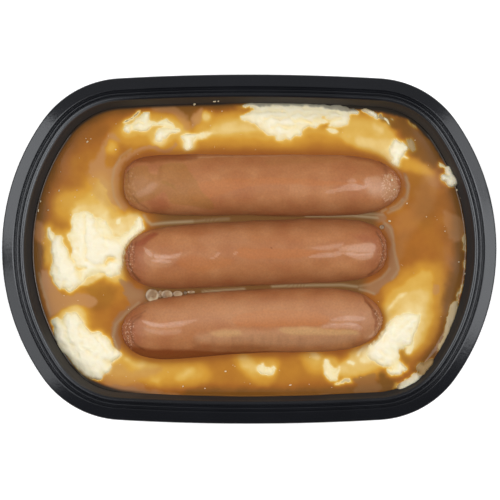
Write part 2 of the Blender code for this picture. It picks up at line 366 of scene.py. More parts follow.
sausages = {
    "sausage_1": {
        "left": (-48.9, 25.8), "right": (61.0, 25.3), "bow": -0.2,
        "halfWidth": 12.5, "halfHeight": 11.6, "level": 22.9,
        "bluntLeft": 3.8, "bluntRight": 1.3, "lean": -0.14,
        "shadow": 0.33, "redEnds": (0.1, 0.3), "seed": 3,
    },
    "sausage_2": {
        "left": (-49.3, -4.9), "right": (53.9, -0.4), "bow": 1.2,
        "halfWidth": 13.1, "halfHeight": 11.98, "level": 22.8,
        "bluntLeft": 1.9, "bluntRight": 2.6, "lean": 0.0,
        "shadow": 0.35, "redEnds": (0.55, 0.4), "seed": 5,
    },
    "sausage_3": {
        "left": (-50.6, -33.6), "right": (54.1, -28.1), "bow": 2.5,
        "halfWidth": 13.0, "halfHeight": 11.98, "level": 22.8,
        "bluntLeft": 1.6, "bluntRight": 1.2, "lean": 0.07,
        "shadow": 0.1, "redEnds": (0.4, 0.3), "seed": 8,
    },
}
sausageForm = {"shoulder": 7, "droop": 0.3, "rings": 281, "around": 144}
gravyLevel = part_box("gravy")[1].z / mm


def sausageAxis(one):
    # Middle, half length vector and sideways direction of a sausage, seen from above
    left, right = np.array(one["left"]), np.array(one["right"])
    half = (right - left) / 2
    return (left + right) / 2, half, np.array([-half[1], half[0]]) / np.hypot(*half)


def sausageSwell(one, s):
    # Share of the full radius at s = -1 to 1 along the axis: (1 - |s|^7)^(1/m), where a larger m is blunter
    blunt = np.where(s < 0, one["bluntLeft"], one["bluntRight"])
    return np.clip(1 - np.abs(s) ** sausageForm["shoulder"], 0, 1) ** (1 / blunt)


def sausagePlace(one, x, y):
    # Share along the axis and distance across it of places seen from above
    middle, half, sideways = sausageAxis(one)
    dx, dy = x - middle[0], y - middle[1]
    s = (dx * half[0] + dy * half[1]) / (half @ half)
    return s, dx * sideways[0] + dy * sideways[1] - one["bow"] * (1 - s * s)


def sausageOutline(one, height, count=120):
    # The sausage's outline at a height, as a closed line of points
    middle, half, sideways = sausageAxis(one)
    s = np.sin(np.linspace(-math.pi / 2, math.pi / 2, count))
    lift = (height - one["level"]) / one["halfHeight"]
    swell = sausageSwell(one, s)
    wide = one["halfWidth"] * np.sqrt(np.clip(swell**2 - lift**2, 0, None))
    keep = wide > 0
    s, wide = s[keep], wide[keep]
    line = middle + s[:, None] * half + one["bow"] * (1 - s * s)[:, None] * sideways
    return np.concatenate([line + wide[:, None] * sideways, (line - wide[:, None] * sideways)[::-1]])


def sausageUnder(x, y):
    # Height of the lowest sausage surface over each place, or a large number where there is none
    under = np.full(np.shape(x), 1e3)
    for one in sausages.values():
        s, v = sausagePlace(one, x, y)
        swell = sausageSwell(one, np.clip(s, -1, 1))
        inside = swell**2 - (v / one["halfWidth"]) ** 2
        low = one["level"] - one["halfHeight"] * np.sqrt(np.clip(inside, 0, None))
        under = np.where((inside > 0) & (np.abs(s) < 1), np.minimum(under, low), under)
    return under


# Mashed potato

mash = {
    "seed": 11,
    "bed": -4.9,            # general level between the heaps
    "bedRoll": 0.9,
    "bedLength": 16.0,
    "warp": 0.35,           # how far the heaps' outlines wander
    "warpLength": 4.0,
    "fineWarp": 0.45,
    "fineLength": 1.7,
    "crownRate": 1.6,       # how soon a heap reaches its full rise inside its outline
    "fallPower": 1.3,       # how round its shoulder is outside
    "lump": 0.22,
    "lumpLength": 4.2,
    "crumb": 0.12,
    "crumbLength": 1.5,
    "drownedBlur": 0.7,
    "hollowBlur": 1.6,
    "clearOfSausage": 0.15,
    "cellsLong": 320,
    "cellsWide": 212,
    "netStep": 0.4,
    "netReach": (88.0, 62.0),
    "sideLevels": (11.0, 8.0, 5.0, 3.0, 1.7),   # down the wall to the tray's floor
}

# Heaps that stand out of the gravy and ridges drowned in it: level, rise inside, reach of the rise, reach
# of the fall outside, outline
heaps = [
    # left heap, the ridge beside it, and what is drowned around them
    (0.2, 1.5, 6.0, 0.7, [-67.6, 13.6, -65.5, 14.6, -62.5, 14.2, -60, 12.6, -57, 10.8, -54.8, 8.6, -53, 5.2,
        -50.5, 4.2, -48.6, 5.6, -46.4, 7.4, -44.4, 9.8, -43.4, 12, -41.6, 11.4, -40.8, 8, -41.8, 6.4,
        -44.4, 4.6, -46.8, 2.6, -48.2, 0, -48.6, -5, -49.8, -9, -52.6, -10.4, -55.2, -10.2, -56.4, -9,
        -59, -9.3, -61.5, -10.5, -65, -12.6, -67, -8, -68, -5, -68.8, -2, -68.2, 1, -70, 3.5, -70.6, 6,
        -68.6, 8.6, -69.2, 11, -68.8, 12.8]),
    (0.2, 1.8, 4.5, 0.6, [-76.3, 3.7, -74.5, 5.3, -72.6, 5, -71.9, 2.4, -71.1, 0, -70.3, -1.5, -68.8, -4.5,
        -67.3, -7, -65, -12, -66.5, -14.6, -68, -15.8, -69.8, -16.6, -71, -15.8, -72.5, -15, -74, -15.3,
        -75.3, -14, -76, -12.6, -77.3, -11, -77.7, -9.5, -77, -7, -76.7, -3, -77.2, -1, -76.9, 1.5]),
    (0.1, 0.8, 2.0, 0.6, [-79, 7.9, -77.5, 7.7, -76, 6, -75.6, 3.8, -77.3, 3.3, -78.6, 5]),
    (-0.05, 0.5, 1.5, 0.5, [-52, 9.8, -51.6, 11.6, -50, 11.9, -49.4, 10.4, -50.6, 9.4]),
    (-0.5, 0.3, 3.0, 2.2, [-69, 14, -65, 16.8, -61, 16.6, -57.5, 18, -55.4, 15, -54, 12, -50, 12.6, -46, 13.5,
        -42.6, 12.6, -44, 8, -49, 3, -54, 5, -60, 10]),
    (-1.0, 0.3, 3.0, 2.4, [-68, 17, -63, 19.6, -60.4, 23, -58.4, 27.4, -56, 27, -54, 21, -52.6, 17, -51, 13,
        -58, 12]),
    (-1.9, 0.4, 3.0, 2.6, [-74.5, 16, -74, 20.5, -69, 21.6, -64, 22.6, -62, 26.5, -58, 29.6, -54.5, 27,
        -53, 20, -51, 14, -58, 10, -70, 11]),
    (-1.7, 0.4, 2.0, 1.4, [-76, 6.8, -73, 7, -71, 7.6, -69.6, 4, -69.4, 0, -71, -0.6, -72.6, 2]),
    (-1.4, 0.3, 2.0, 1.3, [-80.6, 6.4, -79.4, 8.8, -77, 8.6, -77.4, 2, -77.6, -4, -79, -6, -79.6, -1]),
    (-0.35, 0.2, 2.0, 0.6, [-66, -13.8, -62, -13.3, -58.5, -11.7, -56, -9.6, -60, -9, -66, -11]),
    (-0.9, 0.3, 2.0, 1.4, [-57, -10, -54, -12, -50.4, -12.6, -48.4, -11, -47.6, -4, -49.6, -6]),
    (-3.4, 0.4, 3.0, 2.6, [-76, -15, -66, -14.6, -60, -13, -56, -13, -60, -16, -64, -20, -67, -23, -73, -24,
        -78, -21]),
    (-1.6, 0.3, 1.5, 1.4, [-55.4, 38.4, -54.6, 41.4, -52.4, 41.6, -51.8, 39.6, -53.4, 37.8]),
    # lower left heap
    (0.2, 1.9, 5.0, 1.1, [-77.3, -27.6, -75.5, -27, -73, -27.3, -71.5, -25.6, -69.5, -24.8, -67, -25.4,
        -65.3, -27, -64.6, -29.5, -63, -31, -61, -32.3, -58.7, -32.4, -56.7, -33.7, -54.9, -35.3, -53.5, -37,
        -51.8, -38.8, -50, -40.3, -49.7, -41.3, -51.5, -42.6, -52.8, -43.6, -54, -44.4, -53.8, -46,
        -54.2, -47.8, -56, -49, -57, -50.4, -58.5, -51, -60.5, -51, -62.8, -50, -65, -48.8, -67, -47,
        -69, -45, -70.4, -42.8, -72, -41, -73.2, -39.2, -74.4, -37, -75.7, -34.5, -76, -31, -77, -29]),
    (-0.7, 0.3, 3.0, 2.0, [-74, -26.5, -71, -23.5, -68, -21.8, -65.5, -22.8, -64, -26, -63.6, -29.5, -66, -32,
        -72, -29]),
    (-1.9, 0.5, 3.0, 2.6, [-55, -43, -49.5, -41, -46, -42.6, -40, -43.4, -34, -44.4, -29, -45, -21, -45.2,
        -17, -46.6, -16.6, -50, -20, -52.4, -28, -53.6, -37, -53.8, -43, -51, -50, -52.5, -56, -52.5,
        -57, -49]),
    (-0.95, 0.3, 2.0, 1.8, [-48.6, -42, -46.4, -43.6, -41, -43.8, -36, -45, -36.5, -46.4, -42, -46.4,
        -46.5, -45.2]),
    (-1.0, 0.4, 2.0, 1.6, [-38.6, -50.6, -36, -50, -34, -51.4, -35, -53, -38, -52.4]),
    (-0.95, 0.3, 2.0, 2.2, [-28.6, -51, -27.4, -49, -24.5, -47.2, -22.6, -46.2, -21.4, -47.2, -24, -49.6,
        -26, -51.6]),
    (-0.75, 0.3, 1.5, 1.0, [-48.6, -42.2, -46.2, -42.8, -46.6, -43.8, -48.4, -43.4]),
    # lower middle
    (0.0, 0.5, 2.0, 0.9, [3, -46.2, 4.2, -44.9, 5.5, -44.5, 6.8, -45.6, 8.4, -46, 9.9, -46, 9.8, -47.6,
        8.7, -48.9, 6.6, -48.9, 4.8, -48.3, 3.5, -47.3]),
    (-0.85, 0.2, 2.0, 1.6, [-3.6, -41.8, -1.4, -41.2, 0.4, -43, 3, -44.8, 4, -47.4, 1.5, -48, -1.4, -46.4,
        -3.4, -44.4]),
    (-1.7, 0.3, 3.0, 2.0, [-4.6, -43.5, -2.5, -40.9, 4, -42.6, 10.4, -43.8, 11, -47, 9.4, -50.4, 6.5, -52.4,
        3.4, -51.4, -1.5, -47.6]),
    (-1.5, 0.5, 3.0, 2.2, [21, -41.5, 24, -40.2, 28.5, -41, 29.6, -44.5, 27.5, -47.2, 24.5, -46.8,
        22.4, -44.8]),
    (-0.6, 0.2, 1.0, 1.4, [23.8, -40.2, 26.6, -40.4, 27, -42.8, 24.6, -42.8]),
    (-1.4, 0.2, 1.0, 1.4, [29, -42.4, 31, -41.8, 33, -43, 34.6, -45, 32, -44.6]),
    (-0.03, 0.45, 2.0, 0.7, [29.6, -43.2, 30.6, -42.9, 31.8, -44.6, 33, -46.4, 34.8, -45.6, 35.2, -47,
        34.6, -49.4, 34, -51.1, 31.7, -51.4, 30.2, -49.4, 29.4, -47]),
    (-0.9, 0.3, 2.5, 1.7, [34, -46, 37.6, -43.6, 39.5, -41, 42, -38.6, 46, -38, 50, -38, 50.5, -45.5, 46, -48,
        41, -49, 36, -49]),
    (-0.1, 0.3, 1.2, 0.7, [38.4, -44.1, 39.6, -43.5, 41, -44.4, 40.6, -45.5, 38.9, -45]),
    (-0.15, 0.3, 1.2, 0.7, [41.6, -41.2, 42.6, -39.2, 44.2, -38.2, 43.8, -39.6, 42.4, -41.4]),
    (-0.1, 0.2, 0.8, 0.6, [32.8, -52.7, 35, -52.8, 38, -51.8, 40, -51.8, 39.4, -50.5, 37.6, -50.4,
        35, -51.7]),
    # lower right heap
    (0.2, 1.6, 5.0, 0.8, [56, -27.5, 58, -26, 60, -25.2, 62, -24.8, 65, -25, 66.8, -25.4, 66.4, -27.5,
        65.6, -29.5, 65, -31.5, 64, -33.5, 63.4, -35, 62.8, -37, 60.6, -37.8, 59.2, -39, 57.9, -39.4,
        58, -40.4, 58.4, -42, 58, -43.4, 57.4, -44.6, 56, -45.4, 53.6, -45.8, 52, -45.8, 50.5, -44.8,
        48.8, -43.6, 46.4, -42.2, 46, -40, 46, -37.8, 48.4, -36, 50.4, -34, 52, -31.6, 53.8, -29]),
    (0.2, 1.3, 2.4, 0.6, [54, -46.8, 55.5, -46.1, 57.5, -44.7, 59, -43.9, 60.4, -45, 61.5, -46.4, 60.8, -47.5,
        59.6, -47.9, 59.4, -48.9, 57, -49.1, 55, -48.7, 53.9, -47.8]),
    (-0.25, 0.3, 1.5, 0.8, [60.6, -38.4, 62.8, -36.2, 64.4, -36.4, 63.6, -39.4, 62, -41, 60.8, -40.4]),
    (-0.25, 0.2, 2.0, 1.2, [43.4, -38.4, 46, -37.2, 48, -38, 47.6, -44, 45, -44.4, 43, -43, 44, -41]),
    (-0.9, 0.2, 2.0, 1.2, [50, -35, 52, -32, 52.8, -28, 52.6, -24, 54.4, -22, 56, -26, 54, -31, 51, -36]),
    (-0.4, 0.2, 1.0, 0.6, [53.8, -23.6, 55.4, -21, 58, -18.4, 61.2, -16, 60.6, -17.6, 58, -20, 55.6, -22.8]),
    (-0.6, 0.3, 2.0, 1.2, [54, -28, 57.5, -24.6, 60.5, -21.4, 64, -20.6, 67.4, -22.6, 68.2, -26, 67.6, -31,
        65.6, -37, 63, -38, 60, -30]),
    (-0.85, 0.2, 3.0, 1.4, [53.4, -27, 55, -22, 59, -18.6, 63, -16, 68.4, -14.6, 70, -18, 70, -26, 68, -33.6,
        64.6, -39.6, 60, -34]),
    (-1.4, 0.3, 3.0, 1.5, [52.6, -25, 53, -20.5, 57, -15.4, 62.5, -11.4, 68.8, -8, 71.2, -10.4, 71.4, -18,
        71.2, -27, 69, -34, 64, -39.6, 58, -38]),
    (-2.7, 0.3, 3.0, 2.2, [53, -18.6, 57, -13.4, 62, -8.6, 69, -5.8, 73.4, -8, 74.4, -16, 73.6, -27, 71, -36,
        64.6, -40.4, 58, -39]),
    # shallower gravy below and above the sausages
    (-3.9, 0.3, 3.0, 4.0, [-17, -44, -10, -43, 0, -42, 12, -43, 20, -42, 28, -46, 30, -52, 12, -53, -6, -53,
        -18, -52]),
    (-4.1, 0.3, 3.0, 3.0, [-24, 37.5, -10, 39, 6, 39.6, 20, 40.4, 34, 40.6, 44, 38.6, 40, 37.6, 20, 38,
        0, 37.6]),
    # potato left along the wall, lower right
    (0.05, 0.3, 1.0, 0.5, [83.8, -11.4, 84.2, -12.6, 82.8, -16, 81.2, -19.6, 80.2, -20.2, 81.2, -16.6]),
    (0.3, 0.3, 1.5, 0.6, [79.6, -20.4, 81.4, -20.8, 80.6, -25.5, 78.8, -30.4, 76.4, -35.8, 73.8, -39.8,
        73, -39.2, 74.8, -34.6, 76, -30, 77.2, -25, 78.4, -22]),
    (1.6, 0.5, 1.5, 0.5, [65.2, -46.8, 66.2, -45, 69, -44, 71.4, -43, 72, -45.2, 69, -47.8]),
    (2.2, 0.9, 1.2, 0.5, [57.2, -54.8, 58.2, -53, 60, -51.6, 61, -50.6, 63.4, -49.2, 65.6, -48.2, 68, -47.4,
        69.6, -48.8, 66, -52.6, 62, -55.6, 58.6, -57]),
    (-0.25, 0.2, 0.8, 0.4, [55.2, -55, 56, -52.8, 57, -51.8, 57.4, -52.8, 56.6, -54]),
    (0.05, 0.3, 1.0, 0.4, [83.4, -4.6, 84.2, -4.4, 84.2, -8.4, 83.6, -7]),
    (0.05, 0.3, 1.0, 0.4, [82.4, 4.6, 83.8, 6.6, 84.2, 3, 83.9, -1.6, 83, -0.4, 83, 2.4]),
    # upper right
    (0.25, 1.4, 3.0, 0.7, [55.2, 41.2, 57, 42.5, 58.8, 41.8, 60, 41.3, 61.2, 40, 61.5, 38.6, 60.6, 37.6,
        60, 36.3, 59.3, 35.2, 59, 33.4, 58.3, 32.4, 57.2, 32.8, 56, 34, 55.6, 36, 54.6, 38.4]),
    (-0.02, 0.3, 0.6, 0.4, [60, 35.9, 61.5, 35.9, 62.1, 35.4, 60.6, 34.9]),
    (-0.65, 0.3, 2.5, 1.6, [42, 44, 48, 43, 54, 42.4, 56, 40, 57, 33, 55, 34.6, 51, 36.8, 46, 39.4, 42, 41]),
    (-0.75, 0.3, 1.6, 1.4, [48, 49.6, 51, 48.6, 53, 46.2, 51.6, 45, 49, 46.4]),
    (-1.25, 0.4, 3.0, 1.3, [38, 54.6, 44, 53.8, 48, 51.6, 51.4, 49.6, 54, 47, 56.6, 43.8, 58.6, 38, 56, 35,
        51, 36.4, 46, 38.6, 40, 40.6, 36, 43, 37, 48]),
    (0.4, 0.6, 1.2, 0.5, [38.6, 53, 39.4, 54.6, 41.6, 54.4, 42.6, 53.4, 42, 52.8, 40.6, 52.6]),
    (0.5, 0.7, 1.2, 0.5, [43.8, 54.4, 47.8, 54.2, 49.4, 53.2, 49.8, 51.2, 48, 51.2, 46.4, 52.4, 44.8, 53.2]),
    (0.05, 0.4, 1.0, 0.5, [50.6, 52.6, 52, 52.2, 51.8, 51, 50.4, 51.2]),
    (0.35, 0.5, 1.0, 0.5, [52, 51.4, 53.2, 51.4, 54.6, 49.4, 55.2, 47.8, 54.2, 48.4, 53, 50]),
    (0.0, 0.4, 1.0, 0.5, [55.4, 51.2, 56.6, 50.8, 56.4, 50, 55.4, 50.2]),
    (-0.4, 0.3, 1.0, 0.5, [60.8, 50.4, 62.6, 49.8, 64.6, 48.4, 66.4, 46.8, 64.8, 46.8, 62.6, 48.2]),
    (-2.1, 0.4, 2.0, 1.4, [59, 34.6, 62.6, 34.6, 66, 33, 70, 31.2, 71.2, 29.4, 68, 29.8, 64, 30.8, 60, 31.6]),
    (0.9, 1.4, 1.6, 0.5, [76.2, 31.6, 77.6, 32.4, 79, 31.2, 79.2, 29, 78.6, 28.2, 76.8, 28.8, 76.2, 30]),
    (1.6, 1.4, 1.6, 0.5, [76.4, 28.4, 79.4, 28.8, 81.4, 27, 81.4, 25.4, 79.8, 24.6, 77.8, 25, 76.6, 26.2,
        75, 27, 74.8, 28.2, 75.6, 28.8]),
    (0.1, 0.3, 1.0, 0.5, [74.2, 33.6, 75.6, 33, 76.4, 31.8, 75.4, 31.4, 74.4, 32.2]),
    (0.0, 0.4, 0.8, 0.4, [60.8, 42.6, 62.6, 43.2, 64, 42, 64.6, 39.6, 63.6, 37.8, 62.6, 39, 61.8, 41]),
    (-0.5, 0.2, 1.5, 0.8, [53.6, 41, 57, 43, 59.6, 41.6, 61.4, 39, 60, 35.4, 58.4, 31.8, 56, 33, 54, 36]),
    # upper middle
    (0.2, 1.3, 5.0, 0.7, [0.4, 54.2, 0.6, 57.6, 20, 57.6, 37, 56, 38.8, 53, 38.9, 50, 37.5, 48.2, 34, 47.8,
        31.6, 48, 31, 49.4, 29.5, 49.2, 28, 48.6, 26.5, 47.6, 25, 47, 23.5, 47.6, 22, 47, 21, 46, 20.3, 44.4,
        18.5, 44.2, 17, 43.6, 16, 42.6, 14, 43.2, 12, 42.3, 10.6, 42.6, 10, 44, 8, 44.6, 6.5, 44.6, 5.4, 46,
        4, 47.4, 2, 49, 0, 49.6, -2, 50, -3.6, 51, -3, 52, -0.6, 53]),
    (0.1, 0.4, 1.0, 0.5, [-3.4, 56, -2.4, 56.6, -0.4, 56.6, -0.4, 55.2, -1.6, 55]),
    (-0.7, 0.3, 1.0, 0.9, [-5.6, 55.2, -4, 56.6, -1, 56.6, -0.6, 54.4, -3, 54.4]),
    (0.05, 0.5, 1.0, 0.6, [30.3, 46.8, 32, 47.2, 34.2, 46.6, 34.6, 45.6, 32.8, 45.3, 31.4, 46]),
    (-0.15, 0.2, 1.5, 0.9, [-22, 44.2, -19, 45.2, -16, 45.6, -14.6, 45.2, -16, 43.8, -18, 42.8, -21.6, 42]),
    (-0.6, 0.2, 1.5, 0.9, [-17, 46, -12, 46.8, -8, 47.4, -4, 48, 2, 47.4, 2, 46.2, -4, 46, -10, 45.4,
        -16, 44.2]),
    (-0.8, 0.3, 2.5, 1.8, [-14, 48, -4, 50.4, 0, 50, 5, 46, 0, 45.4, -8, 44.8, -14, 45]),
    (-1.6, 0.3, 3.0, 2.2, [-20, 48, -14, 50.4, -6, 53.2, 2, 53, 6, 48, 20, 47, 34, 47, 40, 44, 43, 42,
        34, 43.8, 24, 45, 20, 42.8, 14, 41, 8, 42.6, 0, 43.4, -8, 43, -16, 43, -20, 44]),
    (-2.6, 0.3, 3.0, 3.0, [-20, 50, -14, 52, -4, 54, 4, 48, 20, 45, 30, 45, 40, 42, 26, 42.4, 12, 40, 0, 41.4,
        -12, 41, -20, 42]),
    (-0.55, 0.3, 1.6, 1.0, [-18.4, 50.6, -18.6, 52.8, -17, 54.2, -15.4, 53, -15, 51, -16.6, 50]),
    (-1.8, 0.3, 1.6, 1.6, [-20, 49, -19.6, 53, -17, 54.4, -13.6, 52.6, -13, 49.6, -16, 48.6]),
    # upper left
    (0.2, 0.9, 2.4, 0.6, [-48.6, 47.1, -47.5, 48.5, -45.6, 49, -44.6, 50.4, -43, 51.4, -41.8, 52.8,
        -40.4, 53.3, -39, 53, -38.5, 50.5, -38.6, 48.2, -40, 46.8, -41.5, 45.9, -43.5, 46.1, -45.5, 46.6,
        -47, 45.9, -48.3, 46.1]),
    (0.1, 0.4, 1.2, 0.6, [-38.6, 49.8, -36.6, 49.6, -34.6, 50.4, -32, 50.2, -29.6, 48.6, -29.4, 47.4,
        -32.5, 47.8, -35, 48.4, -38.4, 48.4]),
    (0.15, 0.9, 2.0, 0.6, [-36.4, 43, -36, 45, -35.4, 46.4, -33, 47.4, -31, 47.5, -28.5, 47.2, -27.2, 46.4,
        -28, 45.6, -30.5, 44.8, -31.5, 43.6, -33.5, 43, -34.5, 42, -36.5, 42.3]),
    (0.15, 0.9, 1.6, 0.6, [-26.4, 43.2, -24.8, 44.6, -22.4, 44.8, -20, 44.4, -20.4, 43.6, -21.7, 42.6,
        -22.2, 41, -22.8, 39.2, -24.4, 38.4, -25, 40.4, -25.4, 42]),
    (-0.6, 0.3, 1.4, 1.0, [-37.4, 42.6, -36.8, 40.6, -34.6, 39.8, -32.6, 40.8, -31.4, 43.4, -34, 44]),
    (-0.7, 0.3, 1.4, 1.0, [-25.4, 42, -25, 38.4, -22.8, 38, -21, 39.4, -21, 43, -23, 44]),
    (-1.3, 0.3, 3.0, 1.7, [-50, 46.5, -48, 49, -42, 53.4, -38, 53, -30, 51, -26.4, 48.4, -22, 43.6, -20.6, 41,
        -25, 39, -28.6, 43, -33, 39.8, -37.6, 40.6, -39.4, 44, -42, 44.6, -48, 43.6]),
    (-2.4, 0.3, 3.0, 2.0, [-51, 46, -45, 50.6, -40, 54.6, -32, 53, -25.4, 50.4, -23.4, 46, -20, 40, -26, 37.6,
        -33, 38.6, -40, 40.8, -47, 41.6, -53, 42.6]),
    (0.0, 0.3, 0.8, 0.4, [-49.6, 49, -48, 50.4, -45.6, 51.4, -44, 53.6, -42.4, 54.2, -42.6, 53, -44.6, 51,
        -47.6, 49.4]),
]

# Dents and creases pressed into the heaps: depth, half width, line
dents = [
    (2.2, 0.9, [-55.7, -5.1, -54.2, -3.4, -52.9, -3.6]),
    (0.5, 1.3, [-55, -5.4, -51.6, -4.4]),
    (1.1, 0.5, [-67.4, -7.6, -65.6, -7.5, -63.6, -7.1]),
    (0.45, 0.6, [-64.3, 13, -63.8, 8, -64.2, 2, -63.4, -4]),
    (0.35, 0.8, [-66.6, 0, -62, -5.4, -56, -6.6]),
    (0.3, 0.8, [-60, 12, -58.6, 6, -54, 4]),
    (0.35, 0.8, [-72.4, -28, -71.4, -31, -71.6, -35]),
    (0.45, 0.8, [-66, -30, -65.4, -34, -64.6, -38, -61.6, -41, -58, -42.8, -54.4, -44.4]),
    (0.45, 0.6, [-59.4, -34, -57, -37.6, -55.2, -40.4]),
    (0.4, 0.7, [-70.4, -35, -68, -38.6, -66.8, -42]),
    (0.35, 0.7, [-62, -46.4, -58.6, -44.6]),
    (0.35, 0.8, [56, -33, 60, -29, 64.6, -26.6]),
    (0.3, 0.8, [50, -40, 54.6, -41.4, 57.6, -42.4]),
    (0.8, 0.7, [-2, 53, 1, 54, 4.4, 53, 7, 54.4, 10, 53.4, 13, 54]),
    (0.8, 0.7, [6, 50.6, 9, 51.6, 12, 50.8, 15.6, 51.6, 17.6, 49.6, 21, 50.4, 24, 49]),
    (0.85, 0.7, [13, 54, 15.4, 52.2, 18.6, 53.2, 22, 52.2, 26, 53, 29, 51.6, 31, 52.4]),
    (0.75, 0.7, [21, 55, 22, 54.2, 26, 54.6, 29, 53.4, 33, 54, 36, 52.6]),
    (0.6, 0.7, [9, 47.4, 12, 48.2, 15, 47, 18, 47.6]),
    (0.7, 0.7, [26, 50, 29, 50.8, 32, 50, 35, 51]),
    (0.6, 0.6, [-45.6, 47.4, -43, 49.4, -41, 49]),
    (0.5, 0.5, [33.2, -48, 34.4, -46.4]),
]

# Colour patches on the mash: strength, softness, outline. The grey and shaded patches are painted shade
# beside the tray's wall.
mashPaint = {
    # painted shade beside the wall, greyer than the cream
    "greyShade": [
        (0.55, 1.6, [-1, 53, 2, 58, 20, 58, 38, 56, 38, 51, 32, 51, 26, 50.6, 20, 51.4, 12, 50.6, 6, 52]),
        (0.8, 1.5, [-79, -26, -75, -27.6, -74.6, -32, -74, -36, -70, -40, -66, -44.4, -60, -48.4, -56, -50.4,
            -58, -53, -68, -48, -76, -38]),
        (0.8, 0.4, [57, -54, 58.6, -52, 62, -50.6, 66, -48, 69.4, -47, 69, -50, 62, -56]),
        (0.1, 0.5, [74, 25, 74, 34, 79, 34, 82, 26, 79, 24]),
        (0.9, 0.3, [-50, 49, -46, 52, -43, 55, -41.6, 54, -43, 51.8, -47, 49]),
        (0.6, 0.4, [38, 52.6, 40, 55.4, 56, 52.4, 66, 47, 65, 46, 54, 49.6, 46, 52.4]),
    ],
    "shaded": [
        (0.8, 0.4, [-1, 55.6, -2, 58, 20, 58.6, 38, 57, 44, 55.8, 42, 53.8, 38, 53.6, 30, 54.8, 20, 55.7,
            10, 55.8]),
        (0.5, 0.4, [60, -55.6, 66, -51.6, 71, -46, 69.4, -46.4, 64.6, -51, 59, -54.4]),
    ],
    "stain": [
        (0.65, 0.4, [84.4, -10, 84.6, -14, 81.8, -21, 78.6, -32, 73.4, -40, 72, -39, 76, -26, 79, -19]),
        (1.0, 0.4, [64.6, -47.6, 66.6, -44, 72, -42, 73, -45, 68.6, -48.6]),
        (1.0, 0.4, [54.6, -56, 55.4, -51.4, 58.4, -50.8, 57.8, -53.6]),
        (0.8, 0.4, [82, 8, 85, 8, 85, -9, 82.6, -9]),
        (0.5, 0.4, [32, -53.4, 40.6, -52.4, 40, -50, 35, -51]),
        (0.9, 0.3, [50, 53.4, 52.4, 52.8, 52.4, 50.6, 50, 50.6]),
        (0.6, 0.4, [43, 55, 43.6, 53.6, 46.4, 53.4, 48, 53.8, 49, 55]),
        (1.0, 0.8, [-68, -49.4, -58, -53.4, -56.6, -51, -60, -50.2, -63, -48.8, -66, -46.6]),
        (0.8, 0.4, [-50, 49, -46, 52, -43, 55, -41.6, 54, -43, 51.8, -47, 49]),
        (0.5, 0.4, [37.8, 53.6, 38, 55.6, 42, 55.4, 42, 54.2]),
        (0.7, 0.3, [54, 52.4, 56.6, 52, 56.4, 49.8, 54, 50]),
        (0.95, 0.3, [60.4, 44, 65.4, 42, 65.4, 37, 62, 38]),
    ],
}


def softened(field, radius):
    # Average over a bell curve of this radius in mm, along one way and then the other
    step = mash["netStep"]
    reach = int(math.ceil(2.5 * radius / step))
    weights = np.exp(-((np.arange(-reach, reach + 1) * step / radius) ** 2))
    weights /= weights.sum()
    for axis in (0, 1):
        wide = np.pad(field, [(reach, reach) if a == axis else (0, 0) for a in (0, 1)], mode="edge")
        size = field.shape[axis]
        field = sum(w * np.take(wide, np.arange(k, k + size), axis) for k, w in enumerate(weights))
    return field


def warpedPlaces(x, y):
    # Places moved by slow and fine noise, so that outlines drawn in straight runs come out ragged
    warp, fine, seed = mash["warp"], mash["fineWarp"], mash["seed"]
    wx = x + warp * noise(x, y, 0.0, mash["warpLength"], seed)
    wy = y + warp * noise(x, y, 40.0, mash["warpLength"], seed + 10)
    wx = wx + fine * noise(x, y, 9.0, mash["fineLength"], seed + 4, 2)
    wy = wy + fine * noise(x, y, 49.0, mash["fineLength"], seed + 14, 2)
    return wx, wy


def mashRelief(x, y):
    # Mash above the gravy's surface: over a rolling bed, each heap is a plateau that rises inside its outline
    # and falls away outside it, and the highest one counts. What is drowned is smoothed.
    seed = mash["seed"]
    wx, wy = warpedPlaces(x, y)
    bed = mash["bed"] + mash["bedRoll"] * noise(x, y, 0.0, mash["bedLength"], seed + 20)
    top = bed.copy()
    for level, rise, reach, fall, outline in heaps:
        curve = smoothClosed(outline)
        low, high = curve.min(0) - 4 * fall - 2, curve.max(0) + 4 * fall + 2
        close = (wx > low[0]) & (wx < high[0]) & (wy > low[1]) & (wy < high[1])
        away = insideDistance(wx[close], wy[close], curve)
        up = rise * (1 - np.exp(-mash["crownRate"] * np.maximum(away, 0) / reach))
        fallen = 1 - np.exp(-((np.maximum(-away, 0) / fall) ** mash["fallPower"]))
        top[close] = np.maximum(top[close], level + up - (level - bed[close]) * fallen)
    for depth, halfWidth, line in dents:
        top -= depth * np.exp(-((lineDistance(wx, wy, line) / halfWidth) ** 2))
    bare = smoothStep(-0.9, 0.0, top)
    top = top * bare + softened(np.minimum(top, 0.5), mash["drownedBlur"]) * (1 - bare)
    lumps = noise(x, y, 0.0, mash["lumpLength"], seed + 30, 3, 0.6)
    return top + mash["lump"] * lumps * smoothStep(-2.5, 0.6, top)


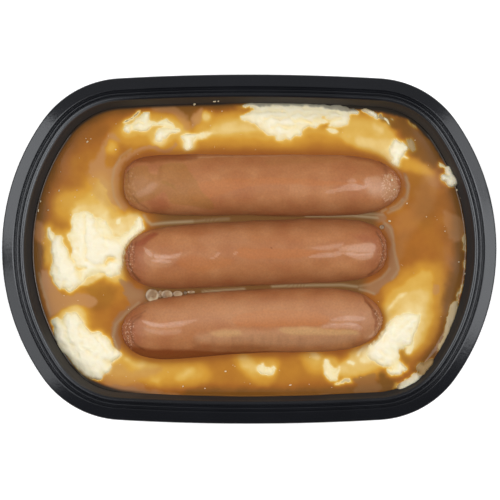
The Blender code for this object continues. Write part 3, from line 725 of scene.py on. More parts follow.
# The food's surface along the wall, as (turns round the tray from +X, mm): how far it is lifted there,
# and how wide the bare gravy beside the wall is dark
food = {
    "wallLifts": ((0.0, 0.0), (0.06, 0.0), (0.12, 0.0), (0.18, 0.0), (0.24, 0.0), (0.3, 0.0), (0.36, 0.0),
        (0.42, 0.0), (0.48, 0.0), (0.56, 0.0), (0.60, 0.0), (0.63, 1.4), (0.67, 1.2), (0.71, 1.4),
        (0.75, 1.8), (0.79, 1.4), (0.83, 0.8), (0.86, 1.2), (0.89, 1.6), (0.92, 0.8), (0.95, 0.1)),
    "wallDarks": ((0.0, 0.2), (0.03, 0.25), (0.055, 0.4), (0.08, 0.6), (0.11, 0.8), (0.15, 1.1),
        (0.19, 1.2), (0.22, 1.0), (0.25, 0.3), (0.29, 0.5), (0.33, 0.6), (0.38, 0.65), (0.44, 0.5),
        (0.50, 0.4), (0.55, 0.5), (0.60, 0.9), (0.63, 1.3), (0.66, 0.4), (0.68, 0.0), (0.75, 0.0),
        (0.85, 0.0), (0.875, 0.2), (0.91, 0.0), (0.95, 0.0)),
    "liftSpread": 0.016,      # turns
    "liftReach": 1.3,
    "crowding": 0.25,         # how much closer the cells are near the wall
    "darkEdge": (0.4, 0.8),   # how softly the dark strip ends towards the wall and away from it
    "shadeBesideReach": 2.0,       # how far a sausage's painted shade reaches on the gravy beside it
    "gapWidths": (4.4, 8.0),  # gaps between two sausages where the painted shade is full and where it ends
}

axisX, axisY = (np.arange(-reach, reach + 0.01, mash["netStep"]) for reach in mash["netReach"])
netX, netY = np.meshgrid(axisX, axisY, indexing="ij")
mashNet = mashRelief(netX, netY)
waterlines = [sausageOutline(one, gravyLevel) for one in sausages.values()]
fromEach = np.stack([insideDistance(netX, netY, curve) for curve in waterlines])
inSausage = fromEach.max(0)     # distance inside the nearest sausage's waterline
outside = np.sort(np.maximum(-fromEach, 0), 0)
# Painted shade on the gravy beside the sausages and in the narrow gaps between them
shadeBesideSausages = np.exp(-((outside[0] / food["shadeBesideReach"]) ** 1.5))
shadeBetweenSausages = 1 - smoothStep(*food["gapWidths"], outside[0] + outside[1])
print("relief worked out")


def readNet(field, x, y):
    # Value of a net field at any places, blended from its four neighbours
    u = np.clip((x - axisX[0]) / mash["netStep"], 0, len(axisX) - 1.001)
    v = np.clip((y - axisY[0]) / mash["netStep"], 0, len(axisY) - 1.001)
    i, j = u.astype(int), v.astype(int)
    s, t = u - i, v - j
    low = field[i, j] * (1 - s) + field[i + 1, j] * s
    high = field[i, j + 1] * (1 - s) + field[i + 1, j + 1] * s
    return low * (1 - t) + high * t


def roundWall(table, turns):
    # A value at places round the wall: the mean of the table's values, each weighted by a bell curve of its
    # distance in turns
    total, weight = 0.0, 1e-9
    for place, value in table:
        away = np.abs(np.mod(turns - place + 0.5, 1.0) - 0.5)
        bell = np.exp(-((away / food["liftSpread"]) ** 2))
        total, weight = total + value * bell, weight + bell
    return total / weight


def foodGrid():
    # Square grid drawn out to the tray's inner wall: a point's larger coordinate is its share of the way out,
    # and its place on the square's edge is its place round the tray. Cells are closer together near the wall.
    long, wide = mash["cellsLong"], mash["cellsWide"]
    u = np.linspace(-1, 1, long + 1)[:, None] + np.zeros((1, wide + 1))
    v = np.linspace(-1, 1, wide + 1)[None, :] + np.zeros((long + 1, 1))
    out = np.maximum(np.abs(u), np.abs(v))
    a, b = u / np.maximum(out, 1e-9), v / np.maximum(out, 1e-9)
    corner = wide / (long + wide) / 4
    turns = np.where(
        np.abs(u) >= np.abs(v),
        np.where(u >= 0, b * corner, 0.5 - b * corner),
        np.where(v >= 0, 0.25 - a * (0.25 - corner), 0.75 + a * (0.25 - corner)),
    )
    edge, outward = trayEdge(turns)
    share = out * (1 + food["crowding"] * (1 - out))
    lift = roundWall(food["wallLifts"], turns)
    dark = roundWall(food["wallDarks"], turns)
    wall = edge - wallInset(gravyLevel + lift)[..., None] * outward
    gap = (1 - share) * (wall * outward).sum(-1)
    level = gravyLevel + lift * np.exp(-((gap / food["liftReach"]) ** 2))
    before, after = food["darkEdge"]
    rim = np.minimum(dark / before, 1) * (1 - smoothStep(dark - before, dark + after, gap))
    return share[..., None] * wall, gap, level, gravyLevel + lift, outward, rim


def fittedPlaces(height):
    # The grid's places at a height, its edge moved in or out to lie on the sloping wall there
    need = wallInset(height) - wallInset(wallTop)
    shift = need * np.exp(-wallGap / (np.abs(need) + 0.4))
    return foodPlaces - shift[..., None] * foodOutward


foodPlaces, wallGap, foodLevel, wallTop, foodOutward, wallRim = foodGrid()
foodX, foodY = foodPlaces[..., 0], foodPlaces[..., 1]
mashLevel = readNet(mashNet, foodX, foodY)
mashBare = smoothStep(-0.5, 0.8, mashLevel)
crumbly = noise(foodX, foodY, 5.0, mash["crumbLength"], mash["seed"] + 50, 2, 0.6)
mashLevel = mashLevel + mash["crumb"] * mashBare * crumbly


def borderLoop(rows, columns):
    # Points round the border of a grid, anticlockwise from the middle of its +X side's low end
    right = (rows - 1) * columns + np.arange(columns)
    top = np.arange(rows - 2, -1, -1) * columns + columns - 1
    left = np.arange(columns - 2, -1, -1)
    bottom = np.arange(1, rows - 1) * columns
    return np.concatenate([right, top, left, bottom])


def makeMash(finish):
    # The relief as a grid out to the wall, closed by a side that follows the wall down and a flat base
    height = np.minimum(foodLevel + mashLevel, sausageUnder(foodX, foodY) - mash["clearOfSausage"])
    rows, columns = foodX.shape
    top = np.concatenate([fittedPlaces(height + 0.5), height[..., None]], -1).reshape(-1, 3)
    border = borderLoop(rows, columns)
    count = len(border)
    sides = []
    for level in mash["sideLevels"]:
        wall = fittedPlaces(np.full(foodX.shape, level - 1.0)).reshape(-1, 2)[border]
        sides.append(np.column_stack([wall, np.full(count, level)]))
    points = np.concatenate([top, *sides, [(0, 0, level)]])
    loops = [border] + [len(top) + k * count + np.arange(count) for k in range(len(sides))]
    faces = [gridFaces(rows, columns)[:, ::-1]]
    for upper, lower in zip(loops, loops[1:]):
        faces.append(np.stack([upper, lower, np.roll(lower, -1), np.roll(upper, -1)], -1))
    faces.append(fanFaces(loops[-1][::-1], len(points) - 1))
    extra = len(points) - len(top)
    # How far each place lies below the smoothed heaps round it, where shade is painted into the colour
    around = readNet(softened(np.maximum(mashNet, 0), mash["hollowBlur"]), foodX, foodY)
    hollow = around - np.maximum(mashLevel, 0)
    fields = {
        "above": np.append(mashLevel.ravel(), np.full(extra, -9.0)),
        "hollow": np.append(hollow.ravel(), np.zeros(extra)),
    }
    warped = warpedPlaces(foodX, foodY)
    for kind, patches in mashPaint.items():
        fields[kind] = np.append(patchMask(*warped, patches).ravel(), np.zeros(extra))
    return newPiece("mashedPotato", points, faces, finish, ["mash"], fields)


# Gravy

gravy = {
    "seed": 21,
    "wallRise": 0.4,        # how far it climbs the tray's wall, and over what distance
    "wallReach": 0.5,
    "wallDepth": 3.5,       # how much deeper it is coloured beside the black wall, partly as painted shade of the wall
    "wallShade": 3.6,
    "sausageRise": 0.05,    # the same beside a sausage
    "sausageReach": 0.9,
    "thinnest": 0.6,        # the layer's least thickness, and how far it dips into the mash
    "dip": 0.3,
    "wave": 0.045,          # slow unevenness of its surface
    "waveLength": 13.0,
    "underMash": 1.1,       # how far the layer runs on under bare mash and into a sausage
    "inSausage": 2.2,
    "depths": (0.0, 0.35, 0.9, 1.8, 3.2, 5.0, 8.0, 12.0),   # where its colour changes
}


# Colour patches on the gravy: the film and skin patches are painted reflections of the lights on its surface,
# the shade patches painted shade, and the dim patch where the black wall shows through
gravyPaint = {
    # painted reflections of the lights, pale and pinkish on the gravy
    "film": [
        (0.7, 0.8, [-53.4, 45.2, -55.4, 43, -57.6, 40, -59.2, 36.4, -61.8, 33, -62.6, 30, -61.4, 28,
            -59, 27.4, -56.6, 24, -54.6, 19, -50, 15.4, -47.6, 16.6, -49.6, 20, -50.8, 25, -50.6, 29.6,
            -52.6, 31.6, -55.4, 31.8, -56.6, 34, -55.8, 37.4, -56, 40, -54.4, 42.6, -50.6, 42, -50.6, 43]),
        (0.5, 0.8, [-38, 56.4, -37.4, 53.8, -33, 53.2, -29, 51.8, -26.4, 49.6, -25.4, 46.8, -23.4, 46.6,
            -23.2, 50, -25, 52.8, -28.4, 54.8, -33, 56.8]),
        (0.7, 0.6, [-22.6, 47.4, -21.8, 51, -20.6, 53.6, -18.2, 55, -18.4, 52, -19, 50.2, -20.6, 48.6]),
        (0.4, 1.2, [-57, -50, -55, -46, -50, -44.6, -47, -47.4, -43.6, -47, -40, -45.6, -34, -47, -38, -49.4,
            -42, -50.6, -45, -52, -50, -53.4, -55, -53.4]),
        (0.35, 1.0, [-63, 30, -58, 28, -55, 20, -52, 15, -57, 18, -61, 22]),
        (0.65, 0.5, [-46.6, 37.4, -49.6, 35, -51.6, 31.4, -52.6, 27, -52.4, 21, -50.4, 16, -48.4, 14.6,
            -49.2, 17, -50.6, 22, -50.8, 28, -49.8, 32, -47.6, 35]),
        (0.8, 0.3, [-52.4, 28, -52.8, 31.4, -50.6, 34.6, -47, 37.2, -42, 39.4, -38, 40.2, -34, 38.9,
            -30.6, 39.4, -28.4, 41.4, -28, 40.2, -30.6, 38, -34, 37.6, -38, 38.8, -42, 38, -46.2, 36,
            -49.4, 33.4, -51.2, 31, -51.4, 28.4]),
        (0.75, 0.6, [-80.8, -8.6, -78.8, -8.4, -77.6, -11.6, -75, -15.6, -71, -17.6, -65, -17.4, -61, -18.6,
            -59, -20.6, -61.6, -22.4, -66.6, -21.6, -72, -23, -76, -25.6, -78, -24, -79.6, -19, -81.2, -13]),
        (0.2, 1.6, [57, 12.6, 61, 15, 64, 19, 66, 25, 70, 28.6, 73, 27, 73, 20, 70, 14, 66, 10, 62, 4, 60, -2,
            57.6, -6, 56, -2, 57.4, 4, 56.4, 9]),
        (0.3, 0.5, [-50, -54.4, -46, -52.6, -43, -51.4, -41, -53, -38.6, -54.8, -33, -55.4, -27, -56.2,
            -27, -57.4, -36, -56.8, -44, -56.4]),
        (0.4, 0.8, [76, 15.4, 79, 13.6, 82.6, 12, 83, 5, 79.6, 3, 77, 6, 75.4, 11]),
        (0.55, 0.4, [71.2, -15, 72.2, -14, 73.4, -14.6, 73.8, -16.4, 72.8, -17.8, 71.4, -17]),
        (0.5, 0.8, [-83, 10.6, -80.6, 10, -79.6, 6, -80.6, 3, -82.6, 3.4, -83.8, 6]),
    ],
    # painted reflections of the lights on the gravy, mostly where it curves up round the sausages' ends
    "skin": [
        (0.7, 0.4, [-50.6, -12, -48.4, -12.6, -45.4, -16.4, -42.6, -19.4, -41.4, -21.4, -44.6, -22.6,
            -47.6, -25.4, -50.4, -28.4, -50.8, -32.4, -49.8, -37, -50.6, -39.8, -52.4, -37.6, -53.8, -33.4,
            -53, -28.6, -50.4, -25, -46.8, -22.6, -47.6, -19.4, -49.2, -16]),
        (0.8, 0.8, [-48, -12.6, -44, -15, -40.6, -16.4, -40, -19.4, -41, -21.6, -45, -20.4, -48, -18]),
        (0.7, 0.3, [60.4, 29.6, 61.6, 28.6, 62.3, 25.4, 62.2, 22, 60.8, 18.6, 58.4, 16.2, 55, 14.8,
            54.4, 15.6, 57.6, 17.4, 59.8, 20, 60.9, 23, 60.8, 26.4]),
        (0.75, 0.5, [52.4, 10.4, 55, 9.6, 56.2, 5, 56.6, 0, 57.6, -4, 58.6, -7.4, 57.6, -10.4, 54.6, -13,
            51.4, -15.4, 49.2, -17.6, 46, -16.6, 42, -15, 46, -14.2, 50, -12.4, 53, -9, 54.2, -4, 54.4, 1,
            54, 5, 52.6, 8]),
        (0.7, 0.4, [36, 13.4, 44, 13.8, 50, 14.4, 53, 13.6, 53.6, 11.4, 50, 10.4, 47, 11.2, 42, 12.6]),
        (0.15, 0.6, [-80.8, -9.4, -79.4, -8.6, -79, -12, -78, -18, -76.8, -24, -78, -26, -79.2, -20,
            -80.4, -14]),
        (0.55, 0.6, [-56, -53.2, -52, -52.8, -47, -53.4, -42, -54.6, -36, -55.8, -34, -57, -44, -56.4,
            -52, -55]),
    ],
    "haze": [
        (0.6, 0.5, [40.6, -50.4, 45, -49.4, 48.6, -48.4, 49.6, -51, 51.4, -54.6, 46, -55.6, 41, -55.8,
            41.6, -53]),
    ],
    "dim": [
        (0.9, 0.5, [34, 55.4, 46, 54.4, 50, 53.2, 54, 52.6, 58, 51.8, 62, 50, 66, 46.8, 70, 42.8, 72, 40,
            74, 36.6, 76, 34.2, 82, 26, 84, 30, 78, 42, 66, 54, 50, 58, 34, 58]),
    ],
    "shade": [
        (0.3, 1.0, [58.2, -38.6, 60, -38, 61.4, -41.6, 63, -44, 60.6, -44.2, 58.6, -42]),
        (0.35, 2.0, [-64, -14.5, -56, -14, -52, -16, -54, -22, -60, -24, -62, -20]),
        (0.3, 3.0, [62, 28, 70, 26, 72, 14, 68, 8, 64, 14]),
        (0.75, 3.0, [-82, 18, -79.4, 30, -73, 41, -64, 49.6, -54, 53.2, -46, 54.6, -46, 57, -66, 54, -78, 42,
            -85, 20]),
        (0.7, 1.4, [-36, 54.4, -28, 53, -24.4, 50.6, -22, 49, -21, 52, -20, 55, -12, 54.6, -4, 55.6, -4, 58,
            -36, 57]),
        (0.7, 1.4, [54, 51.6, 57, 47, 60, 44, 62, 38, 66, 35, 72, 31.6, 74.6, 35, 72, 41, 66, 47, 60, 50.6]),
        (0.75, 0.8, [51, 51, 53.4, 52, 57.4, 50.4, 58.6, 47.4, 56.4, 46.6, 53.4, 48.6]),
        (0.8, 2.0, [79, 24, 80, 14, 78.6, 8, 80, 0, 78.6, -8, 75.4, -18, 75, -26, 73.4, -33, 70, -40, 64, -46,
            66, -48, 74, -40, 80, -24, 84, -10, 85, 10, 83, 24]),
        (0.85, 1.4, [50.6, -48.4, 53.4, -48.6, 54.4, -50.4, 57, -51.4, 55, -56.4, 51.6, -56, 50, -52]),
        (0.6, 1.2, [-22, -54.6, 0, -54.4, 20, -54.4, 40, -53.6, 40, -57, 0, -58, -24, -57.6]),
        (0.85, 1.4, [-84.4, 2, -81, 2.4, -79.8, -2, -80.4, -7, -81.6, -10, -81.2, -18, -79, -25, -77.8, -28,
            -80, -28, -83, -20, -85, -8]),
        (0.8, 2.4, [-84, 10, -80, 11, -79, 16, -79.4, 24, -76, 32, -80, 32, -84, 20]),
    ],
}


# Pale lines painted on the gravy as reflections of the lights where it curves up beside the sausages:
# strength, half width, line
meniscusHighlights = [
    (0.6, 0.55, [-38, 9.6, -34, 10.1, -30, 10.4, -22, 10.8]),
    (0.3, 0.5, [-22, 10.8, -8, 11.8]),
    (0.6, 0.6, [-41, 13, -39.8, 11, -38, 9.6]),
    (0.6, 0.5, [22, 13.0, 30, 13.0, 40, 13.1, 50, 12.2]),
    (0.35, 0.5, [43, 13.9, 52, 13.4]),
    (0.55, 0.5, [-18, -16.7, -10, -16.1, -2, -15.6]),
    (0.5, 0.5, [9, -14.5, 20, -14.1, 36, -13.9, 42, -14.6]),
    (0.4, 0.5, [43, -15.6, 46, -16.4, 48.6, -17.4]),
    (0.4, 0.5, [61, 28, 62.0, 25, 61.4, 19.6, 58.4, 16, 54, 14.2]),
    (0.4, 0.4, [59.8, 19.4, 57.2, 17, 54.8, 15.8]),
    (0.5, 0.4, [51.6, 14.6, 53.4, 15.6]),
    (0.7, 0.4, [-40, -21.2, -37, -20.9, -34, -20.2]),
    (0.3, 0.5, [52.6, 10.4, 55, 8, 56.2, 4, 56.4, 0, 57.2, -4, 58.2, -8, 55.6, -11.6]),
    (0.3, 0.5, [54.6, -7.6, 51.8, -11, 47, -13.6, 43, -14.4]),
    (0.35, 0.5, [-46, 38.8, -50, 36, -52.6, 31.4, -53.4, 26, -52.6, 20.4, -50, 16]),
    (0.35, 0.5, [-81.8, -9.4, -80.8, -14, -78.8, -20, -77.4, -26]),
    (0.5, 0.4, [-43, -20.8, -48, -25, -52, -29.4, -53, -34, -51.4, -38.6]),
]


def closedCells(keep):
    # Fills one cell wherever two kept cells touch only at a corner, so that the layer's side is a clean wall
    for _ in range(4):
        a, b, c, d = keep[:-1, :-1], keep[1:, :-1], keep[:-1, 1:], keep[1:, 1:]
        keep[:-1, :-1] |= b & c & ~a & ~d
        keep[1:, :-1] |= a & d & ~b & ~c
    return keep


def makeGravy(finish):
    # A level surface that climbs a little where it meets the wall and the sausages, dropping off
    # exponentially, over a lower sheet just inside the mash; the two are joined where the layer ends
    inside = readNet(inSausage, foodX, foodY)
    rise = gravy["wallRise"] * np.exp(-wallGap / gravy["wallReach"])
    rise = rise + gravy["sausageRise"] * np.exp(np.minimum(inside, 0) / gravy["sausageReach"])
    rise = rise + gravy["wave"] * noise(foodX, foodY, 3.0, gravy["waveLength"], gravy["seed"], 2, 0.35)
    upper = foodLevel + rise
    lower = foodLevel + np.minimum(-gravy["thinnest"], mashLevel - gravy["dip"])
    corners = [mashLevel[:-1, :-1], mashLevel[1:, :-1], mashLevel[:-1, 1:], mashLevel[1:, 1:]]
    lowest = np.minimum.reduce(corners)
    keep = closedCells((lowest < gravy["underMash"]) & (inside[:-1, :-1] < gravy["inSausage"]))
    count = foodX.size
    cells = gridFaces(*foodX.shape)[keep.ravel()][:, ::-1]
    starts = cells.ravel()
    stops = np.roll(cells, -1, 1).ravel()
    single = ~np.isin(starts * count + stops, stops * count + starts)
    starts, stops = starts[single], stops[single]
    side = np.stack([stops, starts, starts + count, stops + count], -1)
    faces = np.concatenate([cells, cells[:, ::-1] + count, side])
    used, faces = np.unique(faces, return_inverse=True)
    faces = faces.reshape(-1, 4)
    sheets = [np.concatenate([fittedPlaces(height), height[..., None]], -1) for height in (upper, lower)]
    points = np.stack(sheets).reshape(-1, 3)[used]
    depth = np.maximum(-mashLevel, 0)
    depth = depth + gravy["wallDepth"] * np.minimum(depth, 1) * np.exp(-((wallGap / gravy["wallShade"]) ** 2))
    # Pale lines painted as reflections of the lights
    streaks = [
        most * np.exp(-((lineDistance(foodX, foodY, line) / wide) ** 2)) for most, wide, line in meniscusHighlights]
    values = {
        "cover": np.interp(depth, gravy["depths"], np.linspace(0, 1, len(gravy["depths"]))),
        "beside": readNet(shadeBesideSausages, foodX, foodY) * smoothStep(-1.2, 0.0, -mashLevel - 0.2),
        "between": readNet(shadeBetweenSausages, foodX, foodY),
        "rim": wallRim,
        "line": np.maximum.reduce(streaks),
    }
    warped = warpedPlaces(foodX, foodY)
    for kind, patches in gravyPaint.items():
        values[kind] = patchMask(*warped, patches)
    fields = {name: np.tile(value.ravel(), 2)[used] for name, value in values.items()}
    return newPiece("gravyLayer", points, [faces], finish, ["gravy"], fields)


# Sausages: their own surface

# Colour patches on the sausages: an orange film of gravy, a thicker olive film, paler and darker skin.
# The wet patches are painted highlights, the pale ones partly painted highlights and the dark ones partly
# painted shade at the edges
sausagePaint = {
    "sausage_1": {
        "glaze": [
            (0.5, 0.5, [4, 27, 14, 27.4, 26, 26.6, 36, 25.6, 42, 26.6, 43.6, 25.4, 38, 24.6, 28, 24.4, 16, 25,
                6, 24.6, -6, 22.6, -14, 19.6, -21, 18.6, -23.6, 21.6, -18, 25.6, -8, 27]),
        ],
        # painted highlights: pale where the lights are reflected, and glossy
        "wet": [
            (0.55, 0.25, [29.2, 21.6, 30, 22.4, 34, 23.2, 37, 24.6, 40, 25.2, 42, 24.6, 44, 24.4, 44.6, 27,
                46.4, 27.4, 45, 24, 42.4, 22.6, 36, 22.2, 31, 21.2]),
            (0.5, 0.3, [37.4, 26, 39.4, 27, 41.2, 26.2, 40.6, 25.4, 38.4, 25.2]),
            (0.3, 1.2, [44.4, 26.4, 49, 27.6, 52, 25, 51, 20.6, 47, 19.6, 45, 22]),
            (0.25, 0.6, [-42, 20, -38, 21.4, -35, 24.6, -37, 25.4, -40, 23, -43, 21.4]),
        ],
        "veil": [
            (0.52, 0.35, [-49, 27, -46, 31, -40, 32, -38, 29.4, -35, 28.6, -34, 32, -29, 33.4, -25, 33,
                -22, 29, -18.4, 23, -14, 17.4, -13.6, 15.4, -17, 15.6, -24, 17, -30, 18, -33, 22, -38, 19,
                -44, 17.4, -48, 21]),
            (0.2, 0.8, [8, 34.6, 20, 35.4, 30, 36, 36, 34.6, 26, 33.4, 14, 32.6, 8, 33]),
            (0.9, 0.5, [-34, 25.4, -30, 23.4, -27, 21.4, -29, 24.4, -33, 26.6]),
        ],
        # partly painted highlights of the lights, partly paler skin at the tip
        "paleAndHighlight": [
            (0.9, 0.8, [50.4, 26, 53, 29, 57, 27.4, 58, 22, 55, 19, 51, 20, 49.6, 22.6]),
            (0.6, 0.8, [44.6, 26.6, 49, 28.4, 51, 26, 50, 21.4, 47, 20.6, 45, 23]),
            (0.3, 0.8, [-43, 19.4, -38, 21.4, -34, 25.6, -36, 26.2, -40, 23.4, -44, 21.4]),
            (0.8, 0.15, [-24, 35.5, -16, 35.5, -4, 35.7, 8, 35.8, 16, 36.2, 22, 36.4, 16, 36.6, 6, 36.2,
                -8, 36, -22, 35.9]),
            (0.8, 0.12, [50.6, 34.4, 52, 33.2, 53, 31.8, 52.6, 33.4, 51, 34.8]),
        ],
        "redder": [
            (0.45, 1.5, [-39, 19, -33, 19, -31, 16, -37, 14.4]),
            (0.3, 1.2, [-44, 31.4, -40, 33, -34.6, 33, -35, 30, -40, 29.6]),
        ],
        "specks": [(1.0, 1.0, [51, 28, 56, 30, 58.8, 26, 57.4, 20, 52, 18.6, 50.6, 23])],
        # partly painted shade along the upper edge, partly a darker mark
        "dark": [
            (0.75, 1.0, [-48, 31, -46, 33.4, -40, 33.4, -34, 34, -27, 34.2, -20, 35.2, -22, 37, -36, 38,
                -47, 37]),
            (0.4, 1.0, [38, 36.4, 42, 34.6, 48, 33, 53, 30.6, 55, 32, 50, 36, 42, 38]),
            (0.2, 0.5, [-34.4, 32, -33.6, 32, -33.4, 28, -34.4, 26, -34.8, 28]),
        ],
    },
    "sausage_2": {
        "glaze": [
            (0.7, 0.5, [-4, 0.4, 8, 0.2, 20, -0.2, 28, -0.6, 26, -2, 21, -3.2, 10, -3.6, 0, -3.4, -6, -2]),
            (0.5, 1.0, [-26, -2.4, -16, -3.4, -6, -4, -10, -7.4, -20, -8.4, -27, -6]),
        ],
        # painted highlights: pale where the lights are reflected, and glossy
        "wet": [
            (0.7, 0.25, [22.6, -3.2, 26, -1.9, 31, -1.5, 34.8, -1.2, 35.6, -2, 33, -2.9, 28, -3.3]),
            (0.45, 0.3, [34, -0.4, 37, 1.2, 41, 2, 46, 2.4, 48.6, 1.8, 48.2, -0.8, 44, -1.2, 39, -1,
                36, -0.9]),
            (0.75, 0.25, [35.4, -1.5, 39, -1.5, 44, -1.7, 47.6, -1.4, 47, -3, 45.6, -3.7, 42.4, -3.8,
                38.4, -2.8]),
            (0.5, 0.5, [24, 0.6, 30, 1.4, 36, 2.2, 34, 0.4, 28, -0.4]),
            (0.75, 0.25, [-36.4, -2.4, -34.6, -2.2, -31, -2.4, -27.6, -1.9, -25.6, -1.4, -27.4, -3, -31, -3.6,
                -35, -3.7]),
            (0.7, 0.25, [-37, -4.4, -33, -4, -29.6, -4.5, -31.6, -5.2, -35.4, -5.1]),
            (0.6, 0.3, [-40.8, 0.8, -39.4, 0.2, -37, -1.8, -37.4, -3, -39.4, -1.6]),
            (0.7, 0.15, [-15, -3.4, -13.4, -3.3, -11, -1.3, -12.4, -1.4, -13.4, -2.8]),
            (0.7, 0.15, [-6.4, -1.8, -5.2, -1, -4.8, -1.5, -5.8, -2]),
        ],
        # partly painted highlights of the lights, partly paler skin
        "paleAndHighlight": [
            (0.3, 1.6, [-20, 4, -12, 7, -3, 6, 0, 2.4, -8, 0.6, -17, 1.4]),
            (0.35, 0.5, [-40, 0.4, -34, -1.6, -26, -1.8, -23, -1.2, -28, -4.6, -31, -6.6, -37, -7,
                -39.6, -5]),
            (0.4, 0.5, [34, -0.2, 39, 1.4, 44, 2.4, 48, 1.8, 47.6, -3.4, 41, -3.8, 36, -1.6]),
        ],
        "dark": [
            (0.9, 0.15, [8.5, 0.3, 8.8, 0.8, 9.2, 0.5, 8.9, 0.1]),
            (0.1, 2.5, [-30, 1, -4, 4, 20, 4, 40, 5, 46, 0, 30, -6, 10, -7, -14, -8, -32, -8]),
        ],
        "specks": [
            (0.9, 0.6, [50.4, 6.4, 52.6, 3.6, 53, -1, 52, -6, 50, -8, 50.6, -4, 51, 1]),
            (0.6, 0.6, [-47.6, 0, -45, 2, -44, -2, -45, -9, -47.6, -8]),
        ],
        "redder": [
            (0.9, 0.8, [-46, 1.4, -42, 4, -37, 6.4, -34.6, 5.6, -38, 3.4, -42, 1]),
            (0.5, 1.5, [40, 4.6, 44, 6.4, 48, 4, 45, 2.4]),
            (0.5, 2.5, [-48, 0, -44, 2, -41, 0, -40.6, -6, -44, -10, -47, -7]),
        ],
    },
    "sausage_3": {
        "glaze": [
            (0.75, 0.5, [-6, -26, 2, -24, 12, -23.6, 24, -24, 30, -26, 28, -29, 20, -29.6, 12, -29.6,
                4, -29.4, -4, -29.2]),
        ],
        # painted highlights: pale where the lights are reflected, and glossy
        "wet": [
            (0.75, 0.3, [-41, -27.6, -37, -28.2, -33, -28.6, -28, -27.8, -22, -27, -19.6, -26.6, -22, -28,
                -27.4, -29.6, -33, -30, -38, -29.4]),
            (0.35, 0.4, [-40, -30.4, -36, -31, -30, -31, -26, -30.6, -27, -32.4, -33, -33, -38, -32]),
            (0.75, 0.25, [27.6, -29.8, 31, -28.6, 35, -28.3, 40, -28.4, 43.4, -29.8, 42.6, -31, 38, -30.4,
                32, -30.2]),
            (0.55, 0.4, [31, -27.2, 35, -25.8, 40, -25.6, 44.6, -26.4, 42, -27.5, 36, -27.4]),
            (0.7, 0.2, [46.4, -34, 47.4, -32.8, 48.2, -31.4, 48.4, -32.8, 47.4, -34.2]),
        ],
        "redder": [(0.6, 0.5, [50.4, -23, 51.6, -27, 51.4, -32, 50.2, -33, 50.6, -27])],
        "specks": [
            (0.9, 0.6, [48, -23, 51.4, -26, 52, -31, 49.6, -35, 48.6, -33, 49.6, -28]),
            (0.8, 0.8, [-49, -29, -45, -27.6, -44, -31, -44.4, -36, -46.6, -38.6, -49, -35]),
        ],
        "cream": [
            (0.55, 0.6, [12, -30.2, 20, -29.8, 34, -30.6, 42, -31.8, 40, -33, 26, -32.8, 14, -32.4]),
            (0.5, 0.7, [-15, -32, -10, -30.9, -4, -31, -3, -32.6, -8, -33.4, -13, -33.4]),
        ],
        "streaks": [
            (1.0, 1.0, [-20, -33.4, 0, -33, 20, -33.2, 40, -33.6, 42, -37, 20, -39, -10, -39, -22, -37]),
        ],
        # partly painted highlights of the lights, partly paler skin
        "paleAndHighlight": [
            (0.42, 2.5, [-40, -24, -20, -20.5, 0, -19, 30, -18.5, 44, -20, 46, -26, 20, -27, -20, -28]),
            (0.55, 1.0, [44, -24, 48, -23.5, 50.6, -28, 49, -34, 46, -35, 43, -30]),
            (0.8, 1.6, [-20, -32.6, -12, -31.4, -4, -30.6, 6, -31, 14, -30.4, 26, -30.6, 36, -31.6, 42, -30.6,
                44, -33, 38, -36, 24, -37, 10, -37.2, -2, -35.6, -12, -35.8, -20, -35.4]),
            (0.15, 0.5, [-44, -27, -37, -28, -28, -27.6, -20, -26.6, -26, -29.6, -27, -32, -34, -32,
                -42, -33]),
            (0.35, 0.5, [31, -27.6, 38, -25.4, 45, -25.2, 46, -30, 43, -29, 36, -29, 28, -29.8]),
            (0.7, 0.3, [49.4, -26, 51.6, -27, 51.8, -31, 49.6, -34, 50.2, -30]),
        ],
        # partly painted shade along the lower edge and in the right end's crease, partly darker skin
        "dark": [
            (0.9, 0.9, [-48.6, -35, -45, -37, -40, -38, -34, -38.6, -26, -38.8, -16, -39, -6, -39.4, 10, -40,
                12, -42, -10, -43, -22, -44, -36, -45, -46, -43, -50, -38]),
            (0.6, 0.4, [44.6, -18.6, 47.6, -21.4, 49.4, -25, 49.6, -29, 48.6, -33.6, 48.2, -30, 48, -25.4,
                46, -21.6]),
            (0.45, 0.8, [40, -36.6, 44, -35.4, 47, -35, 48, -36.6, 44, -38.4]),
            (0.4, 1.0, [-20, -37, -10, -37, 2, -37, 7, -38.2, 2, -39.6, -20, -39.4]),
        ],
    },
}
# Creases where the casing is gathered at the ends, painted dark as shade: strength, half width, line
sausageCreases = {
    "sausage_1": [
        (0.3, 0.6, [50.6, 34.6, 52.2, 32.4, 53, 29.4]),
        (0.3, 0.5, [-46.4, 33.6, -46.8, 30, -46.2, 26]),
        (0.3, 0.4, [-44.6, 20.4, -42.4, 17.6, -39.6, 15.8]),
    ],
    "sausage_2": [
        (0.6, 0.5, [-45.4, 2.2, -46.6, -1, -46.6, -5, -45, -9, -42.4, -12]),
        (0.3, 0.4, [-43.6, 3, -44.4, -1, -44.2, -5]),
        (0.55, 0.45, [49.4, 6.6, 51.2, 3.6, 51.8, 0, 51.2, -4, 49.4, -7.4, 46, -10]),
    ],
    "sausage_3": [
        (0.4, 0.5, [-41.6, -25.8, -44.4, -28, -45.4, -32, -44.4, -36, -41, -38.8]),
        (0.35, 0.4, [-40, -24, -45, -26.6, -47.4, -31, -46.8, -36]),
        (0.35, 0.45, [45, -20.4, 48.6, -23.6, 50.4, -27.4, 50.4, -31.6, 48.6, -35]),
    ],
}
